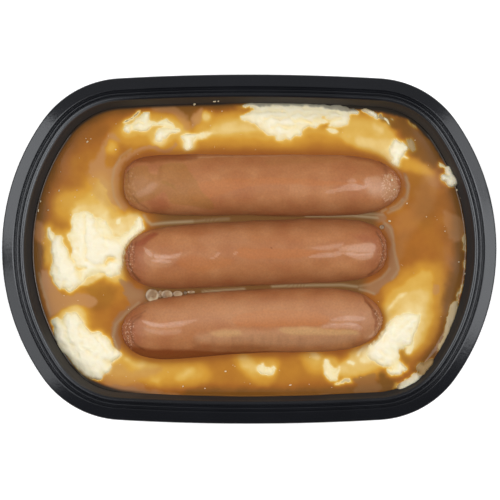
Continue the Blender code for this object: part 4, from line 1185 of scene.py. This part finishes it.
sausageSkin = {
    "roll": 0.22,          # long unevenness
    "rollLength": 13.0,
    "ripple": 0.05,
    "rippleLength": 5.0,
    "dimple": 0.05,
    "dimpleLength": 2.6,
    "fold": 0.32,          # puckered folds at the ends
    "folds": 17,
    "foldWander": 1.6,
    "foldLength": 7.0,
    "pit": 0.22,
    "pitLength": 1.8,
    "smear": (0.8, 0.4),   # how far the edges of colour patches wander along and across
    "smearLength": 6.0,
    "shadowReach": (3.0, 9.5),   # distances from the next sausage where its shadow starts to fade and ends
}


def surfaceNormals(points):
    # Unit normals of a grid of points that is closed round its columns
    along = np.gradient(points, axis=0)
    across = np.roll(points, -1, 1) - np.roll(points, 1, 1)
    normal = np.cross(across, along)
    return normal / np.maximum(np.linalg.norm(normal, axis=-1, keepdims=True), 1e-12)


def makeSausage(name, finish):
    # Oval rings, leaning a little to one side, along an axis bowed sideways and drooping as s^2 towards the
    # ends. The surface is moved along its normal by long unevenness, fine dimples, and folds and pits that
    # gather at the ends. Each tip is closed by a fan.
    one, skin, seed = sausages[name], sausageSkin, sausages[name]["seed"]
    middle, half, sideways = sausageAxis(one)
    rings, around = sausageForm["rings"], sausageForm["around"]
    s = np.sin(np.linspace(-math.pi / 2, math.pi / 2, rings + 2)[1:-1])[:, None]
    turn = (2 * math.pi * np.arange(around) / around - math.pi / 2)[None, :]
    slope = -2 * one["bow"] * s / np.hypot(*half)
    across = sideways - half / np.hypot(*half) * slope
    across /= np.hypot(across[:, 0], across[:, 1])[:, None]
    line = middle + s * half + one["bow"] * (1 - s * s) * sideways
    swell = sausageSwell(one, s)
    flat = line[:, None, :] + across[:, None, :] * (one["halfWidth"] * swell * np.cos(turn))[..., None]
    height = one["level"] - sausageForm["droop"] * (s * s - 0.35)
    leaning = one["lean"] * one["halfWidth"] * np.cos(turn)
    height = height + swell * (one["halfHeight"] * np.sin(turn) + leaning)
    points = np.concatenate([flat, height[..., None]], -1)
    normals = surfaceNormals(points)
    places = points[..., 0], points[..., 1], points[..., 2]
    out = np.abs(s)
    tip = smoothStep(0.985, 1.0, out)
    wander = skin["foldWander"] * noise(*places, skin["foldLength"], seed + 1, 2)
    fold = 0.5 - 0.5 * np.cos(skin["folds"] * turn + wander)
    pits = np.maximum(noise(*places, skin["pitLength"], seed + 2, 2), 0)
    relief = skin["roll"] * (noise(*places, skin["rollLength"], seed, 2) - 0.6)
    relief = relief + skin["dimple"] * noise(*places, skin["dimpleLength"], seed + 3, 2)
    relief = relief + skin["ripple"] * noise(*places, skin["rippleLength"], seed + 4, 1)
    gathered = skin["fold"] * fold * smoothStep(0.9, 0.99, out) + skin["pit"] * pits
    relief = relief - smoothStep(0.80, 0.97, out) * (1 - tip) * gathered
    points = points + relief[..., None] * normals
    low = one["level"] - 0.65 * sausageForm["droop"]
    count = rings * around
    faces = [
        gridFaces(rings, around, wrapColumns=True),
        fanFaces(np.arange(around)[::-1], count),
        fanFaces(count - around + np.arange(around), count + 1),
    ]
    points = np.concatenate([points.reshape(-1, 3), [(*one["left"], low), (*one["right"], low)]])
    x, y, z = points.T
    redder = np.where(s < 0, *one["redEnds"]) * smoothStep(0.72, 0.9, out) * (1 - tip)
    pucker = 0.3 * smoothStep(0.88, 0.95, out) * fold
    fields = {"above": z - gravyLevel}
    for field, values in (("redder", redder), ("pucker", pucker)):
        fields[field] = np.append(np.broadcast_to(values, (rings, around)), [0, 0])
    others = [other for other in sausages.values() if other is not one]
    gaps = [np.abs(insideDistance(x, y, sausageOutline(other, gravyLevel, 60))) for other in others]
    fields["shadow"] = one["shadow"] * (1 - smoothStep(*skin["shadowReach"], np.minimum.reduce(gaps)))
    wx = x + skin["smear"][0] * noise(x, y, z, skin["smearLength"], seed + 7, 3)
    wy = y + skin["smear"][1] * noise(x, y, z, skin["smearLength"], seed + 8, 3)
    top = smoothStep(one["level"], one["level"] + 1.5, z)
    paint = sausagePaint[name]
    for kind in ("glaze", "veil", "paleAndHighlight", "cream", "dark", "streaks"):
        fields[kind] = top * patchMask(wx, wy, paint.get(kind, []))
    wx, wy = (wx + x) / 2, (wy + y) / 2
    # Creases painted dark as shade, and wet patches painted pale as highlights
    creases = sausageCreases[name]
    creased = [most * np.exp(-((lineDistance(wx, wy, line) / wide) ** 2)) for most, wide, line in creases]
    fields["creaseShade"] = top * np.maximum.reduce(creased)
    fields["wet"] = top * patchMask(wx, wy, paint["wet"])
    for field, kind in (("redder", "redder"), ("pucker", "specks")):
        fields[field] = np.maximum(fields[field], top * patchMask(wx, wy, paint.get(kind, [])))
    return newPiece(name.replace("_", "") + "Skin", points, faces, finish, [name], fields)


# Bubbles in the gravy between two sausages

bubbles = {
    "domes": (  # x, y, half length, half width, rise, tone from dark to pale; the pale tones are painted reflections of the lights
        (-37.8, -18.0, 2.6, 2.6, 0.35, 0.55), (-34.6, -17.5, 0.9, 1.5, 0.1, 0.1),
        (-32.0, -17.7, 2.3, 1.9, 0.4, 0.42), (-27.8, -17.4, 1.9, 1.3, 0.3, 0.4),
        (-24.9, -17.0, 0.7, 0.8, 0.3, 0.0), (-22.6, -16.7, 1.5, 0.55, 0.2, 0.6),
        (51.6, 8.6, 0.9, 0.9, 0.25, 0.3)),
    "base": 0.2,   # height of a bubble's foot above the gravy, and how far it goes down into it
    "root": 1.0,
    "seed": 51,
    "rings": 14,
    "around": 40,
}


def makeBubbles(finish):
    # Each bubble is a cap on an oval: its height falls from the rise as the square root of 1 - r^2, and below
    # the surface it closes to a point
    points, faces, tones = [], [], []
    rings, around = bubbles["rings"], bubbles["around"]
    base = gravyLevel + bubbles["base"]
    turn = 2 * math.pi * np.arange(around)[None, :] / around
    r = np.sin(np.linspace(0, math.pi / 2, rings + 1)[1:])[:, None]
    for x, y, halfLength, halfWidth, rise, tone in bubbles["domes"]:
        start = sum(len(part) for part in points)
        height = base + rise * np.sqrt(np.clip(1 - r * r, 0, 1)) + 0 * turn
        dome = np.stack([x + halfLength * r * np.cos(turn), y + halfWidth * r * np.sin(turn), height], -1)
        dome = dome.reshape(-1, 3)
        points.append(np.concatenate([dome, [(x, y, base + rise), (x, y, gravyLevel - bubbles["root"])]]))
        count = rings * around
        faces.append(start + gridFaces(rings, around, wrapColumns=True))
        faces.append(fanFaces(start + np.arange(around)[::-1], start + count))
        faces.append(fanFaces(start + count - around + np.arange(around)[::-1], start + count + 1))
        patchy = noise(*dome.T, 1.6, bubbles["seed"], 2).reshape(rings, around)
        # A pale ring painted inside the rim as a highlight, and the very rim darker
        shade = tone + 0.25 * patchy + 0.15 * smoothStep(0.5, 0.85, r) - 0.35 * smoothStep(0.8, 1.0, r)
        tones.append(np.append(shade.ravel(), [tone, 0.0]))
    fields = {"tone": np.concatenate(tones)}
    return newPiece("gravyBubbles", np.concatenate(points), faces, finish, (), fields)


# Potato crumbs on the gravy and up the tray's wall

crumbs = {
    "placed": (  # x, y, height above the gravy, length, width, turn in degrees
        (-21.3, 56.3, 0.9, 1.1, 0.9, 20), (-13.4, 57.0, 3.6, 1.3, 0.6, 0), (-11.9, 57.1, 3.6, 0.7, 0.5, 30),
        (-63.0, 41.8, 0.0, 0.9, 0.7, 40), (-52.0, 38.8, 0.0, 0.6, 0.5, 0), (-78.2, 15.2, 0.0, 0.6, 0.5, 0),
        (-74.0, 22.8, 0.0, 0.6, 0.5, 60), (-60.6, -46.0, 0.3, 0.6, 0.5, 0), (-9.2, -47.6, 0.0, 0.9, 0.6, 0),
        (-17.2, -54.2, 0.0, 0.7, 0.4, 10), (-25.8, -53.4, 0.0, 0.7, 0.5, 0),
        (16.0, -52.9, 0.0, 1.0, 0.4, 10), (11.4, -57.0, 0.8, 2.4, 0.7, 28),
        (53.2, -55.9, 2.4, 2.6, 0.9, 22), (64.6, 42.4, 0.0, 0.5, 0.4, 0), (82.2, 20.4, 0.5, 1.4, 0.5, 75),
        (80.8, 23.0, 0.4, 0.7, 0.6, 0), (81.6, -5.0, 0.0, 0.5, 0.4, 0), (69.0, 12.6, 0.0, 0.5, 0.4, 0),
        (76.2, 7.0, 0.0, 0.5, 0.5, 0), (54.6, 10.9, 0.1, 1.1, 0.8, 0), (61.4, 17.8, 0.1, 0.5, 0.5, 0),
        (-81.2, 18.6, 0.3, 0.8, 0.5, 80), (-82.0, 15.0, 0.4, 1.2, 0.4, 80), (83.9, -9.6, 0.4, 0.9, 0.4, 80),
        (55.0, 26.6, 4.6, 0.8, 0.5, 20), (56.0, 23.0, 3.6, 0.6, 0.5, 0)),
    "scattered": 60,
    "size": (0.18, 0.42),
    "spread": (80, 54),
    "rough": 0.3,
    "seed": 61,
    "rings": 8,
    "around": 12,
}


def makeCrumbs(finish):
    # Each crumb is an oval ball whose radius is roughened by noise; a few are placed, the rest fall at random
    # on open gravy
    random = np.random.default_rng(crumbs["seed"])
    spots = [list(one) for one in crumbs["placed"]]
    reachX, reachY = crumbs["spread"]
    while len(spots) < len(crumbs["placed"]) + crumbs["scattered"]:
        x, y = random.uniform(-reachX, reachX), random.uniform(-reachY, reachY)
        place = np.array(x), np.array(y)
        onGravy = readNet(mashNet, *place) < -1.0 and readNet(inSausage, *place) < -1.0
        if onGravy and (abs(x) / 82) ** 3 + (abs(y) / 55) ** 3 < 1:
            long = random.uniform(*crumbs["size"])
            spots.append([x, y, 0.0, long, long * random.uniform(0.6, 1.0), random.uniform(0, 180)])
    rings, around = crumbs["rings"], crumbs["around"]
    up = np.linspace(-math.pi / 2, math.pi / 2, rings + 2)[1:-1][:, None]
    turn = 2 * math.pi * np.arange(around)[None, :] / around
    ball = np.stack([np.cos(up) * np.cos(turn), np.cos(up) * np.sin(turn), np.sin(up) + 0 * turn], -1)
    ball = np.concatenate([ball.reshape(-1, 3), [(0, 0, -1), (0, 0, 1)]])
    count = rings * around
    shape = [
        gridFaces(rings, around, wrapColumns=True),
        fanFaces(np.arange(around)[::-1], count),
        fanFaces(count - around + np.arange(around), count + 1),
    ]
    points, faces = [], []
    for index, (x, y, above, long, wide, angle) in enumerate(spots):
        rough = 1 + crumbs["rough"] * noise(*(ball + 10 * index).T, 0.9, crumbs["seed"] + 5, 2)
        body = ball * rough[:, None] * np.array([long, wide, min(wide, 0.8 * long)]) / 2
        angle = math.radians(angle)
        across = body[:, 0] * math.cos(angle) - body[:, 1] * math.sin(angle)
        along = body[:, 0] * math.sin(angle) + body[:, 1] * math.cos(angle)
        points.append(np.column_stack([x + across, y + along, gravyLevel + above + 0.05 + body[:, 2]]))
        faces += [part + index * (count + 2) for part in shape]
    return newPiece("potatoCrumbs", np.concatenate(points), faces, finish)


# Materials. Each pattern has a real size in mm.

def scaleFor(size):
    # Scale of a noise whose marks are this many mm apart, on Object coordinates in metres
    return 1 / (size * mm)


def painted(tree, below, layers):
    # Lays a colour over what is below for each (field, most, colour), by the piece's own field
    for field, most, hexColour in layers:
        share = addNode(tree, "Attribute", attribute_name=field).outputs["Fac"]
        if most != 1:
            share = addNode(tree, "Math", {0: share, 1: most}, operation="MULTIPLY")
        below = addNode(tree, "MixRGB", {"Fac": share, "Color1": below, "Color2": linear(hexColour)})
    return below


trayFinish = {
    "grain": 1.1111,          # fine unevenness of the formed sheet
    "cloud": 22.222,          # slow change of tone and gloss
    "tones": ((0.3, "#111216"), (0.7, "#14151a")),
    "gloss": (0.14, 0.2),
    "filmInsets": (8.9, 9.5),     # where the dried film on the wall begins and is full
    "film": "#3d3832",
    "dullInsets": (8.7, 9.3),
    "dull": 0.7,
    "sheenInsets": (7.75, 9.35),    # the wall's top edge, where a reflection of the lights is painted pale
    "paintedSheen": "#54575b",
}


def trayMaterial():
    # Crystallised polyester (CPET), vacuum formed: dense black with a faint blue cast and a smooth skin
    # with low, slightly blurred reflections. Inside, its wall is dulled by a dried film of gravy, and on
    # top a reflection of the lights is painted pale.
    made, tree = newMaterial("blackCpet")
    look = trayFinish
    place = addNode(tree, "TexCoord").outputs["Object"]
    grain = addNode(tree, "TexNoise", {"Vector": place, "Scale": scaleFor(look["grain"]), "Detail": 3.0})
    cloud = addNode(tree, "TexNoise", {"Vector": place, "Scale": scaleFor(look["cloud"]), "Detail": 2.0})
    tone = addNode(tree, "ValToRGB", {"Fac": cloud}, look["tones"])
    rough = addNode(tree, "MapRange", {
        "Value": cloud, "From Min": 0.3, "From Max": 0.7,
        "To Min": look["gloss"][0], "To Max": look["gloss"][1]})
    inset = addNode(tree, "Attribute", attribute_name="inset").outputs["Fac"]
    film = addNode(tree, "MapRange", {
        "Value": inset, "From Min": look["filmInsets"][0], "From Max": look["filmInsets"][1], "To Max": 0.9})
    dried = addNode(tree, "Attribute", attribute_name="film").outputs["Fac"]
    filmed = addNode(tree, "Math", {0: film, 1: dried}, operation="MULTIPLY")
    wall = addNode(tree, "MixRGB", {"Fac": filmed, "Color1": tone, "Color2": linear(look["film"])})
    # A reflection of the lights, painted pale on the wall's top edge
    edge = addNode(tree, "MapRange", {
        "Value": inset, "From Min": look["sheenInsets"][0], "From Max": look["sheenInsets"][1]})
    edge = addNode(tree, "ValToRGB", {"Fac": edge}, [
        (0.15, "#000000"), (0.3, "#ffffff"), (0.75, "#ffffff"), (0.95, "#000000")])
    sheenWeight = addNode(tree, "Attribute", attribute_name="paintedSheen").outputs["Fac"]
    paintedSheen = addNode(tree, "Math", {0: edge, 1: sheenWeight}, operation="MULTIPLY")
    wall = addNode(tree, "MixRGB", {"Fac": paintedSheen, "Color1": wall, "Color2": linear(look["paintedSheen"])})
    dull = addNode(tree, "MapRange", {
        "Value": inset, "From Min": look["dullInsets"][0], "From Max": look["dullInsets"][1],
        "To Max": look["dull"]})
    dulled = addNode(tree, "Math", {0: rough, 1: dull}, operation="ADD")
    bump = addNode(tree, "Bump", {"Height": grain, "Strength": 0.12, "Distance": 0.2 * mm})
    shader = addNode(tree, "BsdfPrincipled", {
        "Base Color": wall, "Roughness": dulled, "IOR": 1.6, "Specular Tint": (0.93, 0.96, 1.0, 1.0),
        "Normal": bump})
    addNode(tree, "OutputMaterial", {"Surface": shader})
    return made


mashFinish = {
    "mottle": 3.8462,         # stains that gravy leaves on it
    "grain": 0.71429,         # grains of potato
    "hollows": (-0.1, 0.9),   # depths between which it is painted a darker cream, as shade in its hollows
    "tones": ((0.0, "#fff5d9"), (0.45, "#fdeec6"), (1.0, "#efd69c")),
    "wetHeights": (0.5, 1.7),
    "wet": "#f8e3a8",
    # The grey and shaded layers are painted shade beside the wall
    "layers": (("greyShade", 1, "#e2dcc0"), ("stain", 1, "#a88a5c"), ("shaded", 1, "#78756a")),
}


def mashMaterial():
    # Mashed potato with milk and butter: matt, nearly white, stained where gravy wets it. Its hollows are
    # painted a darker cream as shade, and patches by the tray's wall are painted grey as shade.
    made, tree = newMaterial("mashedPotatoFlesh")
    look = mashFinish
    place = addNode(tree, "TexCoord").outputs["Object"]
    hollow = addNode(tree, "Attribute", attribute_name="hollow").outputs["Fac"]
    above = addNode(tree, "Attribute", attribute_name="above").outputs["Fac"]
    base = addNode(tree, "MapRange", {
        "Value": hollow, "From Min": look["hollows"][0], "From Max": look["hollows"][1]})
    tone = addNode(tree, "ValToRGB", {"Fac": base}, look["tones"])
    mottle = addNode(tree, "TexNoise", {"Vector": place, "Scale": scaleFor(look["mottle"]), "Detail": 4.0})
    height = addNode(tree, "Math", {0: above, 1: mottle}, operation="ADD")
    wet = addNode(tree, "MapRange", {
        "Value": height, "From Min": look["wetHeights"][0], "From Max": look["wetHeights"][1],
        "To Min": 0.9, "To Max": 0.0})
    wetted = addNode(tree, "MixRGB", {"Fac": wet, "Color1": tone, "Color2": linear(look["wet"])})
    colour = painted(tree, wetted, look["layers"])
    grain = addNode(tree, "TexNoise", {"Vector": place, "Scale": scaleFor(look["grain"]), "Detail": 5.0})
    bump = addNode(tree, "Bump", {"Height": grain, "Strength": 0.35, "Distance": 0.5 * mm})
    shader = addNode(tree, "BsdfPrincipled", {
        "Base Color": colour, "Roughness": 0.55, "IOR": 1.4, "Normal": bump, "Subsurface Weight": 0.15,
        "Subsurface Radius": (0.0012, 0.0009, 0.0005), "Subsurface Scale": 1.0})
    addNode(tree, "OutputMaterial", {"Surface": shader})
    return made


gravyFinish = {
    "cloud": 7.6923,          # patches of fat and starch
    "cloudShift": 0.04,
    "tones": (                # from the thinnest gravy to the deepest
        (0.0, "#faeab8"), (0.143, "#f0d088"), (0.286, "#e3b658"), (0.429, "#d79d38"), (0.571, "#c4862f"),
        (0.714, "#ab6a28"), (0.857, "#835220"), (1.0, "#553719")),
    # film, skin and line are painted reflections of the lights; shade, beside and between are painted shade
    "layers": (
        ("shade", 1, "#7a5220"), ("film", 1, "#c08c5c"), ("skin", 1, "#9e7858"), ("haze", 1, "#8e6840"),
        ("dim", 1, "#3a3226"), ("beside", 0.72, "#8b4d22"), ("between", 0.95, "#74502a"),
        ("rim", 1, "#2f2a25"), ("line", 1, "#b3a07e")),
}


def gravyMaterial():
    # Starch-thickened meat gravy: a glossy, cloudy brown that lets the potato through where it is thin,
    # so its colour runs from cream over gold to deep brown with depth. Paler, pinker patches and lines
    # on it are painted reflections of the lights, and it is painted darker beside and between the
    # sausages as shade.
    made, tree = newMaterial("meatGravy")
    look = gravyFinish
    place = addNode(tree, "TexCoord").outputs["Object"]
    cover = addNode(tree, "Attribute", attribute_name="cover").outputs["Fac"]
    cloud = addNode(tree, "TexNoise", {"Vector": place, "Scale": scaleFor(look["cloud"]), "Detail": 5.0})
    shift = addNode(tree, "MapRange", {
        "Value": cloud, "From Min": 0.3, "From Max": 0.7,
        "To Min": -look["cloudShift"], "To Max": look["cloudShift"]})
    depth = addNode(tree, "Math", {0: cover, 1: shift}, operation="ADD")
    tone = addNode(tree, "ValToRGB", {"Fac": depth}, look["tones"])
    colour = painted(tree, tone, look["layers"])
    shader = addNode(tree, "BsdfPrincipled", {"Base Color": colour, "Roughness": 0.08, "IOR": 1.42})
    addNode(tree, "OutputMaterial", {"Surface": shader})
    return made


def bubbleMaterial():
    # A bubble's skin of gravy and fat: thin and shiny, painted pale greyish as reflections of the lights,
    # and dark where it shows what is underneath
    made, tree = newMaterial("gravyBubbleSkin")
    value = addNode(tree, "Attribute", attribute_name="tone").outputs["Fac"]
    tone = addNode(tree, "ValToRGB", {"Fac": value}, [(0.0, "#4a3824"), (0.4, "#96785a"), (1.0, "#c6b696")])
    shader = addNode(tree, "BsdfPrincipled", {"Base Color": tone, "Roughness": 0.25, "IOR": 1.38})
    addNode(tree, "OutputMaterial", {"Surface": shader})
    return made


def crumbMaterial():
    # Crumbs of potato: the heaps' cream, each a little more or less stained
    made, tree = newMaterial("potatoCrumb")
    place = addNode(tree, "TexCoord").outputs["Object"]
    cloud = addNode(tree, "TexNoise", {"Vector": place, "Scale": scaleFor(6.6667), "Detail": 2.0})
    tone = addNode(tree, "ValToRGB", {"Fac": cloud}, [(0.35, "#c9b48a"), (0.65, "#ece2c4")])
    shader = addNode(tree, "BsdfPrincipled", {"Base Color": tone, "Roughness": 0.45, "IOR": 1.4})
    addNode(tree, "OutputMaterial", {"Surface": shader})
    return made


sausageFinish = {
    "cloud": 9.0909,          # slow change of tone
    "grain": 0.76923,         # specks of meat and fat under the casing
    "stripes": (3.0303, 20.0, 20.0),   # short marks across the sausage, along x, y and z
    "pores": 1.4286,
    "tones": ((0.3, "#ac6b41"), (0.5, "#b47649"), (0.7, "#be8254")),
    # the wet layer is a painted highlight, the pale layer partly one, the dark layer partly painted shade,
    # and the shadow and crease layers painted shade
    "layers": (
        ("redder", 1, "#9c5234"), ("glaze", 1, "#bc733c"), ("paleAndHighlight", 1, "#c49068"), ("veil", 1, "#a27036"),
        ("cream", 1, "#d2a66e"), ("dark", 1, "#86421a"), ("shadow", 1, "#6e3c20"), ("creaseShade", 1, "#5a2c14"),
        ("wet", 1, "#cd9a7c")),
    "stripe": "#8a5c3c",
    "fleck": "#d8b094",
    "edge": "#84472a",        # near the gravy's surface
    "roughness": (0.5, 0.07), # dry and wet
}


def sausageMaterial():
    # Cooked pork sausage in a thin casing: pinkish brown and moist, orange where a film of gravy lies on it,
    # with sharp reflections only where it is wet. Pale highlights are also painted on where it is wet,
    # and its creases and parts of its edges are painted dark as shade.
    made, tree = newMaterial("porkSausageSkin")
    look = sausageFinish
    place = addNode(tree, "TexCoord").outputs["Object"]
    cloud = addNode(tree, "TexNoise", {"Vector": place, "Scale": scaleFor(look["cloud"]), "Detail": 4.0})
    tone = addNode(tree, "ValToRGB", {"Fac": cloud}, look["tones"])
    colour = painted(tree, tone, look["layers"])
    narrow = addNode(tree, "Mapping", {
        "Vector": place, "Scale": tuple(scaleFor(size) for size in look["stripes"])})
    stripe = addNode(tree, "TexNoise", {"Vector": narrow, "Scale": 1.0, "Detail": 2.0})
    striped = addNode(tree, "MapRange", {"Value": stripe, "From Min": 0.42, "From Max": 0.7, "To Max": 0.24})
    streaks = addNode(tree, "Attribute", attribute_name="streaks").outputs["Fac"]
    streaked = addNode(tree, "Math", {0: striped, 1: streaks}, operation="MULTIPLY")
    last = addNode(tree, "MixRGB", {"Fac": streaked, "Color1": colour, "Color2": linear(look["stripe"])})
    grain = addNode(tree, "TexNoise", {"Vector": place, "Scale": scaleFor(look["grain"]), "Detail": 3.0})
    speckle = addNode(tree, "MapRange", {
        "Value": grain, "From Min": 0.3, "From Max": 0.7, "To Min": 0.93, "To Max": 1.07})
    last = addNode(tree, "HueSaturation", {"Color": last, "Value": speckle})
    fleck = addNode(tree, "MapRange", {"Value": grain, "From Min": 0.54, "From Max": 0.62, "To Max": 0.85})
    pucker = addNode(tree, "Attribute", attribute_name="pucker").outputs["Fac"]
    flecked = addNode(tree, "Math", {0: fleck, 1: pucker}, operation="MULTIPLY")
    last = addNode(tree, "MixRGB", {"Fac": flecked, "Color1": last, "Color2": linear(look["fleck"])})
    above = addNode(tree, "Attribute", attribute_name="above").outputs["Fac"]
    edge = addNode(tree, "MapRange", {
        "Value": above, "From Min": 0.2, "From Max": 2.0, "To Min": 0.2, "To Max": 0.0})
    last = addNode(tree, "MixRGB", {"Fac": edge, "Color1": last, "Color2": linear(look["edge"])})
    pores = addNode(tree, "TexNoise", {"Vector": place, "Scale": scaleFor(look["pores"]), "Detail": 4.0})
    bump = addNode(tree, "Bump", {"Height": pores, "Strength": 0.1, "Distance": 0.3 * mm})
    wet = addNode(tree, "Attribute", attribute_name="wet").outputs["Fac"]
    rough = addNode(tree, "MapRange", {
        "Value": wet, "To Min": look["roughness"][0], "To Max": look["roughness"][1]})
    shader = addNode(tree, "BsdfPrincipled", {
        "Base Color": last, "Roughness": rough, "IOR": 1.42, "Normal": bump, "Subsurface Weight": 0.12,
        "Subsurface Radius": (0.003, 0.0012, 0.0006), "Subsurface Scale": 1.0})
    addNode(tree, "OutputMaterial", {"Surface": shader})
    return made


makeTray(trayMaterial())
makeMash(mashMaterial())
makeGravy(gravyMaterial())
makeBubbles(bubbleMaterial())
makeCrumbs(crumbMaterial())
casing = sausageMaterial()
for name in sausages:
    makeSausage(name, casing)
print("food made")


# Stage: a pale floor, four soft lights at the left and right of the tray, and a dim surround

stage = {
    "cameraHeight": 474.0,
    "cameraX": 0.30,
    "cameraY": -0.33,
    "lens": 82.9,            # millimetres, on a sensor 36 mm wide
    "floorReach": 2500.0,
    "floorDrop": 0.2,        # just under the tray, so that the two do not lie in one plane
    "floorGlow": 0.5,
    "lightDistance": 1200.0,
    "lightDepth": 1120.0,    # from its low edge to its high edge
    "lightTilt": 38.8,       # degrees from straight up
    "lights": (              # name, degrees round from +X, brightness, width
        ("lightLeftFar", 161.5, 2.4, 640.0), ("lightLeftNear", 202.0, 1.55, 620.0),
        ("lightRightFar", 26.0, 1.7, 410.0), ("lightRightNear", -6.0, 2.6, 660.0)),
    "surround": (0.07, 0.29),   # brightness towards the near side and towards the far side
}


def makeFloor():
    # A flat square, matt and faintly glowing, so that it stays pale between soft shadows
    finish, tree = newMaterial("paleFloor")
    shader = addNode(tree, "BsdfPrincipled", {
        "Base Color": linear("#fafafa"), "Roughness": 0.9, "IOR": 1.2,
        "Emission Color": (1, 1, 1, 1), "Emission Strength": stage["floorGlow"]})
    addNode(tree, "OutputMaterial", {"Surface": shader})
    mesh = bpy.data.meshes.new("floor")
    reach, low = stage["floorReach"] * mm, -stage["floorDrop"] * mm
    corners = [(-reach, -reach, low), (reach, -reach, low), (reach, reach, low), (-reach, reach, low)]
    mesh.from_pydata(corners, [], [(0, 1, 2, 3)])
    mesh.materials.append(finish)
    floor = bpy.data.objects.new("floor", mesh)
    bpy.context.scene.collection.objects.link(floor)


def makeLights():
    # Soft boxes that face the tray. Their brightness is that of their surface, so a wider one gives more
    # light.
    tilt = math.radians(stage["lightTilt"])
    distance = stage["lightDistance"] * mm
    for name, turn, brightness, width in stage["lights"]:
        light = bpy.data.lights.new(name, "AREA")
        light.shape = "RECTANGLE"
        light.size = stage["lightDepth"] * mm
        light.size_y = width * mm
        light.energy = brightness * math.pi * light.size * light.size_y
        lamp = bpy.data.objects.new(name, light)
        reach, angle = distance * math.sin(tilt), math.radians(turn)
        lamp.location = (reach * math.cos(angle), reach * math.sin(angle), distance * math.cos(tilt))
        lamp.rotation_euler = (0, tilt, angle)
        bpy.context.scene.collection.objects.link(lamp)


def makeSurround():
    # A dim world that brightens evenly from the near side to the far side
    world = bpy.data.worlds.new("surround")
    world.use_nodes = True
    tree = world.node_tree
    tree.nodes.clear()
    place = addNode(tree, "TexCoord").outputs["Generated"]
    parts = addNode(tree, "SeparateXYZ", {"Vector": place})
    near, far = stage["surround"]
    strength = addNode(tree, "MapRange", {
        "Value": parts.outputs["Y"], "From Min": -0.8, "From Max": 0.8, "To Min": near, "To Max": far})
    glow = addNode(tree, "Background", {"Color": (1, 1, 1, 1), "Strength": strength})
    addNode(tree, "OutputWorld", {"Surface": glow})
    bpy.context.scene.world = world


def makeCamera():
    # Straight above the tray, looking down
    view = bpy.data.cameras.new("camera")
    view.lens = stage["lens"]
    view.sensor_width = 36.0
    view.clip_start = 0.01
    camera = bpy.data.objects.new("camera", view)
    camera.location = (stage["cameraX"] * mm, stage["cameraY"] * mm, stage["cameraHeight"] * mm)
    bpy.context.scene.collection.objects.link(camera)
    bpy.context.scene.camera = camera
    bpy.context.scene.view_settings.view_transform = "Standard"
    bpy.context.scene.view_settings.look = "None"


makeFloor()
makeLights()
makeSurround()
makeCamera()
print("stage made")
